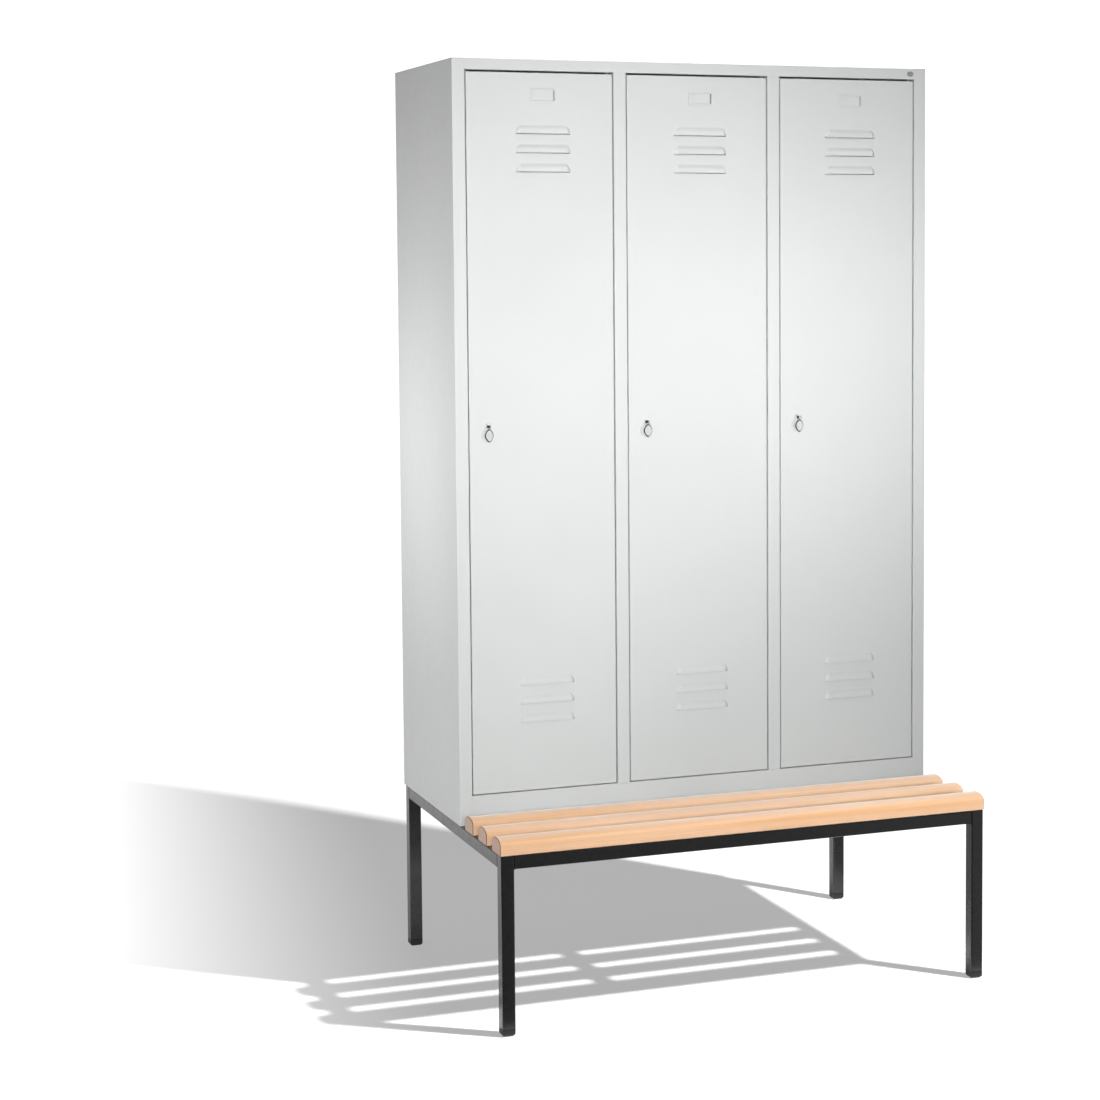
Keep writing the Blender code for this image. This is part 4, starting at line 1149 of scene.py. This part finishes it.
def build_badge():
    """Blank oval badge with a raised rim."""
    low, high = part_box("badge_blank")
    x, z = centre_of("badge_blank", "xz")
    half_width = (high.x - low.x) / 2
    half_height = (high.z - low.z) / 2
    mesh = bmesh.new()
    rings = []
    for shrink, proud in BADGE_SECTION:
        outline = [
            (x + u * (half_width - shrink), z + v * (half_height - shrink)) for u, v in circle(1)
        ]
        rings.append(add_ring(mesh, "Y", outline, high.y - (high.y - low.y) * proud))
    skin(mesh, rings)
    add_piece("badge_oval", mesh, "badge_metal", "badge_blank")


def build_seams():
    """Welds of the front, ground flush, in the grooves where stiles, rail and plinth meet."""
    mesh = bmesh.new()

    def wedge(axis, near, far, low, high):
        """A three-sided prism from the bend's start to past the gap, flush with the front."""
        outline = [(near, FACE), (far, FACE), (far, FACE + BEND)]
        if axis == "X":
            outline = [(y, z) for z, y in outline]
        skin(mesh, [add_ring(mesh, axis, outline, along) for along in (low, high)])

    for edge, inward in ((LEFT, 1), (RIGHT, -1)):
        near = edge + inward * (STILE - BEND)
        far = edge + inward * (STILE + SEAM_REACH)
        wedge("Z", near, far, RAIL_BOTTOM + BEND, TOP - BEND)
        wedge("Z", near, far, CABINET_BOTTOM + BEND, FLOOR_TOP - BEND)
    for side in ("left", "right"):
        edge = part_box(f"partition_{side}")[0].x
        start = edge + BEND
        end = edge + STILE - BEND
        wedge("X", RAIL_BOTTOM + BEND, RAIL_BOTTOM - SEAM_REACH, start, end)
        wedge("X", FLOOR_TOP - BEND, FLOOR_TOP + SEAM_REACH, start, end)
    add_piece("ground_welds", mesh, "locker_paint")


def build_buffers():
    """Rubber buffers on the door stops, just clear of the closed doors."""
    mesh = bmesh.new()
    for number in range(1, COMPARTMENTS + 1):
        low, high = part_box(f"door_{number}")
        profile = [(radius, FACE + DOOR_STOP - height) for radius, height in BUFFER_SECTION]
        for z in (low.z + BUFFER_FROM_END, high.z - BUFFER_FROM_END):
            turned(mesh, "Y", profile, (low.x + BUFFER_FROM_EDGE, z), SMALL_SIDES)
    add_piece("door_buffers", mesh, "foot_plastic", finishes=("rubber",))


def finish_cad_nodes():
    """Give the CAD nodes that stay in view the finish of their slot."""
    for node in frame["nodes"].values():
        if node.hide_render:
            continue
        for index, material in enumerate(node.data.materials):
            node.material_slots[index].material = FINISHES[material.name.split(".")[0]]


def make_camera():
    """Camera at the place fitted to the photograph's edges."""
    data = bpy.data.cameras.new("camera")
    data.sensor_fit = "VERTICAL"
    data.sensor_height = SENSOR_MM
    data.sensor_width = SENSOR_MM * SENSOR_WIDTH_SHARE
    data.lens = SENSOR_MM * FOCAL_PIXELS / PHOTO_SIDE
    data.shift_x = (PHOTO_SIDE / 2 - PRINCIPAL_X) / PHOTO_SIDE
    data.shift_y = (PRINCIPAL_Y - PHOTO_SIDE / 2) / PHOTO_SIDE
    data.clip_start = CLIP_START
    data.clip_end = CLIP_END
    camera = new_object("camera", data)
    camera.location = (-CAMERA_LEFT_OF_MIDDLE, FACE - CAMERA_BEFORE_FACE, CAMERA_HEIGHT)
    level_share = math.cos(CAMERA_PITCH)
    sine, cosine = math.sin(CAMERA_YAW), math.cos(CAMERA_YAW)
    ahead = Vector((sine * level_share, cosine * level_share, math.sin(CAMERA_PITCH)))
    level = Vector((cosine, -sine, 0))
    upright = level.cross(ahead)
    right = math.cos(CAMERA_ROLL) * level + math.sin(CAMERA_ROLL) * upright
    up = right.cross(ahead)
    camera.rotation_euler = Matrix((right, up, -ahead)).transposed().to_euler()
    bpy.context.scene.camera = camera


def make_floor():
    """White floor that glows: an even glow gives the shadow its tone, and painted light that grows
    towards the left fades the shadow out to white.
    """
    data = bpy.data.meshes.new("floor")
    corners = rectangle(*FLOOR_SIDES)
    data.from_pydata([(x, y, 0) for x, y in corners], [], [range(len(corners))])
    floor = new_object("floor", data)
    surface = Surface("studio_floor", Roughness=0.9, Specular_IOR_Level=0.0)
    split = surface.add("ShaderNodeSeparateXYZ", Vector=surface.place)
    slant = surface.reckon("MULTIPLY", split.outputs["Y"], FADE_SLANT)
    leftward = surface.reckon("SUBTRACT", slant, split.outputs["X"])
    fade = surface.reckon("POWER", surface.span(leftward, FADE_NEAR, FADE_FAR, 0.0, 1.0), FADE_CURVE)
    # Painted light: the glow rises from the shadow's tone to white towards the left
    glow = surface.span(fade, 0.0, 1.0, FLOOR_GLOW, 1.0)
    tones = {"Base_Color": (*[FLOOR_REFLECTS] * 3, 1), "Emission_Color": (*WHITE, 1)}
    data.materials.append(surface.finished(Emission_Strength=glow, **tones))
    return floor


def light_only(lamp, *receivers):
    """Let a light fall on the given objects alone."""
    lit = bpy.data.collections.new(f"{lamp.name}_receivers")
    for receiver in receivers:
        lit.objects.link(receiver)
    lamp.light_linking.receiver_collection = lit


def make_shadow_lamp(floor):
    """Small lamp for the floor's shadow alone; the object itself stands in soft light."""
    data = bpy.data.lights.new("shadow_lamp", "POINT")
    data.energy = SHADOW_LAMP_POWER
    data.shadow_soft_size = SHADOW_LAMP_RADIUS
    nodes = Nodes(data)
    even = nodes.add("ShaderNodeLightFalloff", Strength=1).outputs["Constant"]
    nodes.join(nodes.tree.nodes["Emission"], {"Strength": even})
    lamp = new_object("shadow_lamp", data)
    lamp.location = SHADOW_LAMP_PLACE
    light_only(lamp, floor)


def add_softbox(name, place, target, size, power, spread=180, colour=WHITE):
    """A square light that no view or reflection shows; its beam's width is in degrees."""
    name += "_softbox"
    data = bpy.data.lights.new(name, "AREA")
    data.size = size
    data.energy = power
    data.spread = math.radians(spread)
    data.color = colour
    lamp = new_object(name, data)
    lamp.location = place
    aim = Vector(target) - Vector(place)
    lamp.rotation_euler = aim.to_track_quat("-Z", "Z").to_euler()
    lamp.visible_camera = False
    lamp.visible_glossy = False
    return lamp


def make_world():
    """Even white behind the object; its light is stronger from some sides than from others."""
    world = bpy.data.worlds.new("studio")
    nodes = Nodes(world)
    direction = nodes.add("ShaderNodeTexCoord").outputs["Generated"]
    level = WORLD_BASE
    for aim, sharpness, strength in WORLD_LOBES:
        facing = nodes.facing(direction, Vector(aim).normalized())
        narrowed = nodes.reckon("POWER", nodes.reckon("MAXIMUM", facing, 0), sharpness)
        level = nodes.reckon("ADD", nodes.reckon("MULTIPLY", narrowed, strength), level)
    mix = nodes.add("ShaderNodeMix")
    seen = nodes.add("ShaderNodeLightPath").outputs["Is Camera Ray"]
    nodes.join(mix, {0: seen, 2: level, 3: WORLD_SEEN})
    background = {"Color": (*WHITE, 1), "Strength": mix.outputs[0]}
    nodes.join(nodes.tree.nodes["Background"], background)
    bpy.context.scene.world = world


def make_studio():
    make_shadow_lamp(make_floor())
    make_world()
    for name, softbox in SOFTBOXES.items():
        add_softbox(name, *softbox)
    # The boards throw no warm light at the doors and the plinth, and have lamps of their own
    boards = [bpy.data.objects[f"board_{name}"] for name in SLATS]
    for board in boards:
        board.visible_diffuse = False
    for name, softbox in BENCH_SOFTBOXES.items():
        lamp = add_softbox(name, *softbox)
        lamp.data.cycles.max_bounces = 0
        light_only(lamp, *boards)
    bpy.context.scene.view_settings.view_transform = "Standard"


def main():
    build_base()
    build_slats()
    latch = (build_rosette, build_knob, build_cam)
    for number in range(1, COMPARTMENTS + 1):
        for build in (build_door, *latch, build_coat_rail, build_hooks, build_hinge_pins):
            build(number)
    build_badge()
    build_seams()
    build_buffers()
    finish_cad_nodes()
    make_camera()
    make_studio()


main()
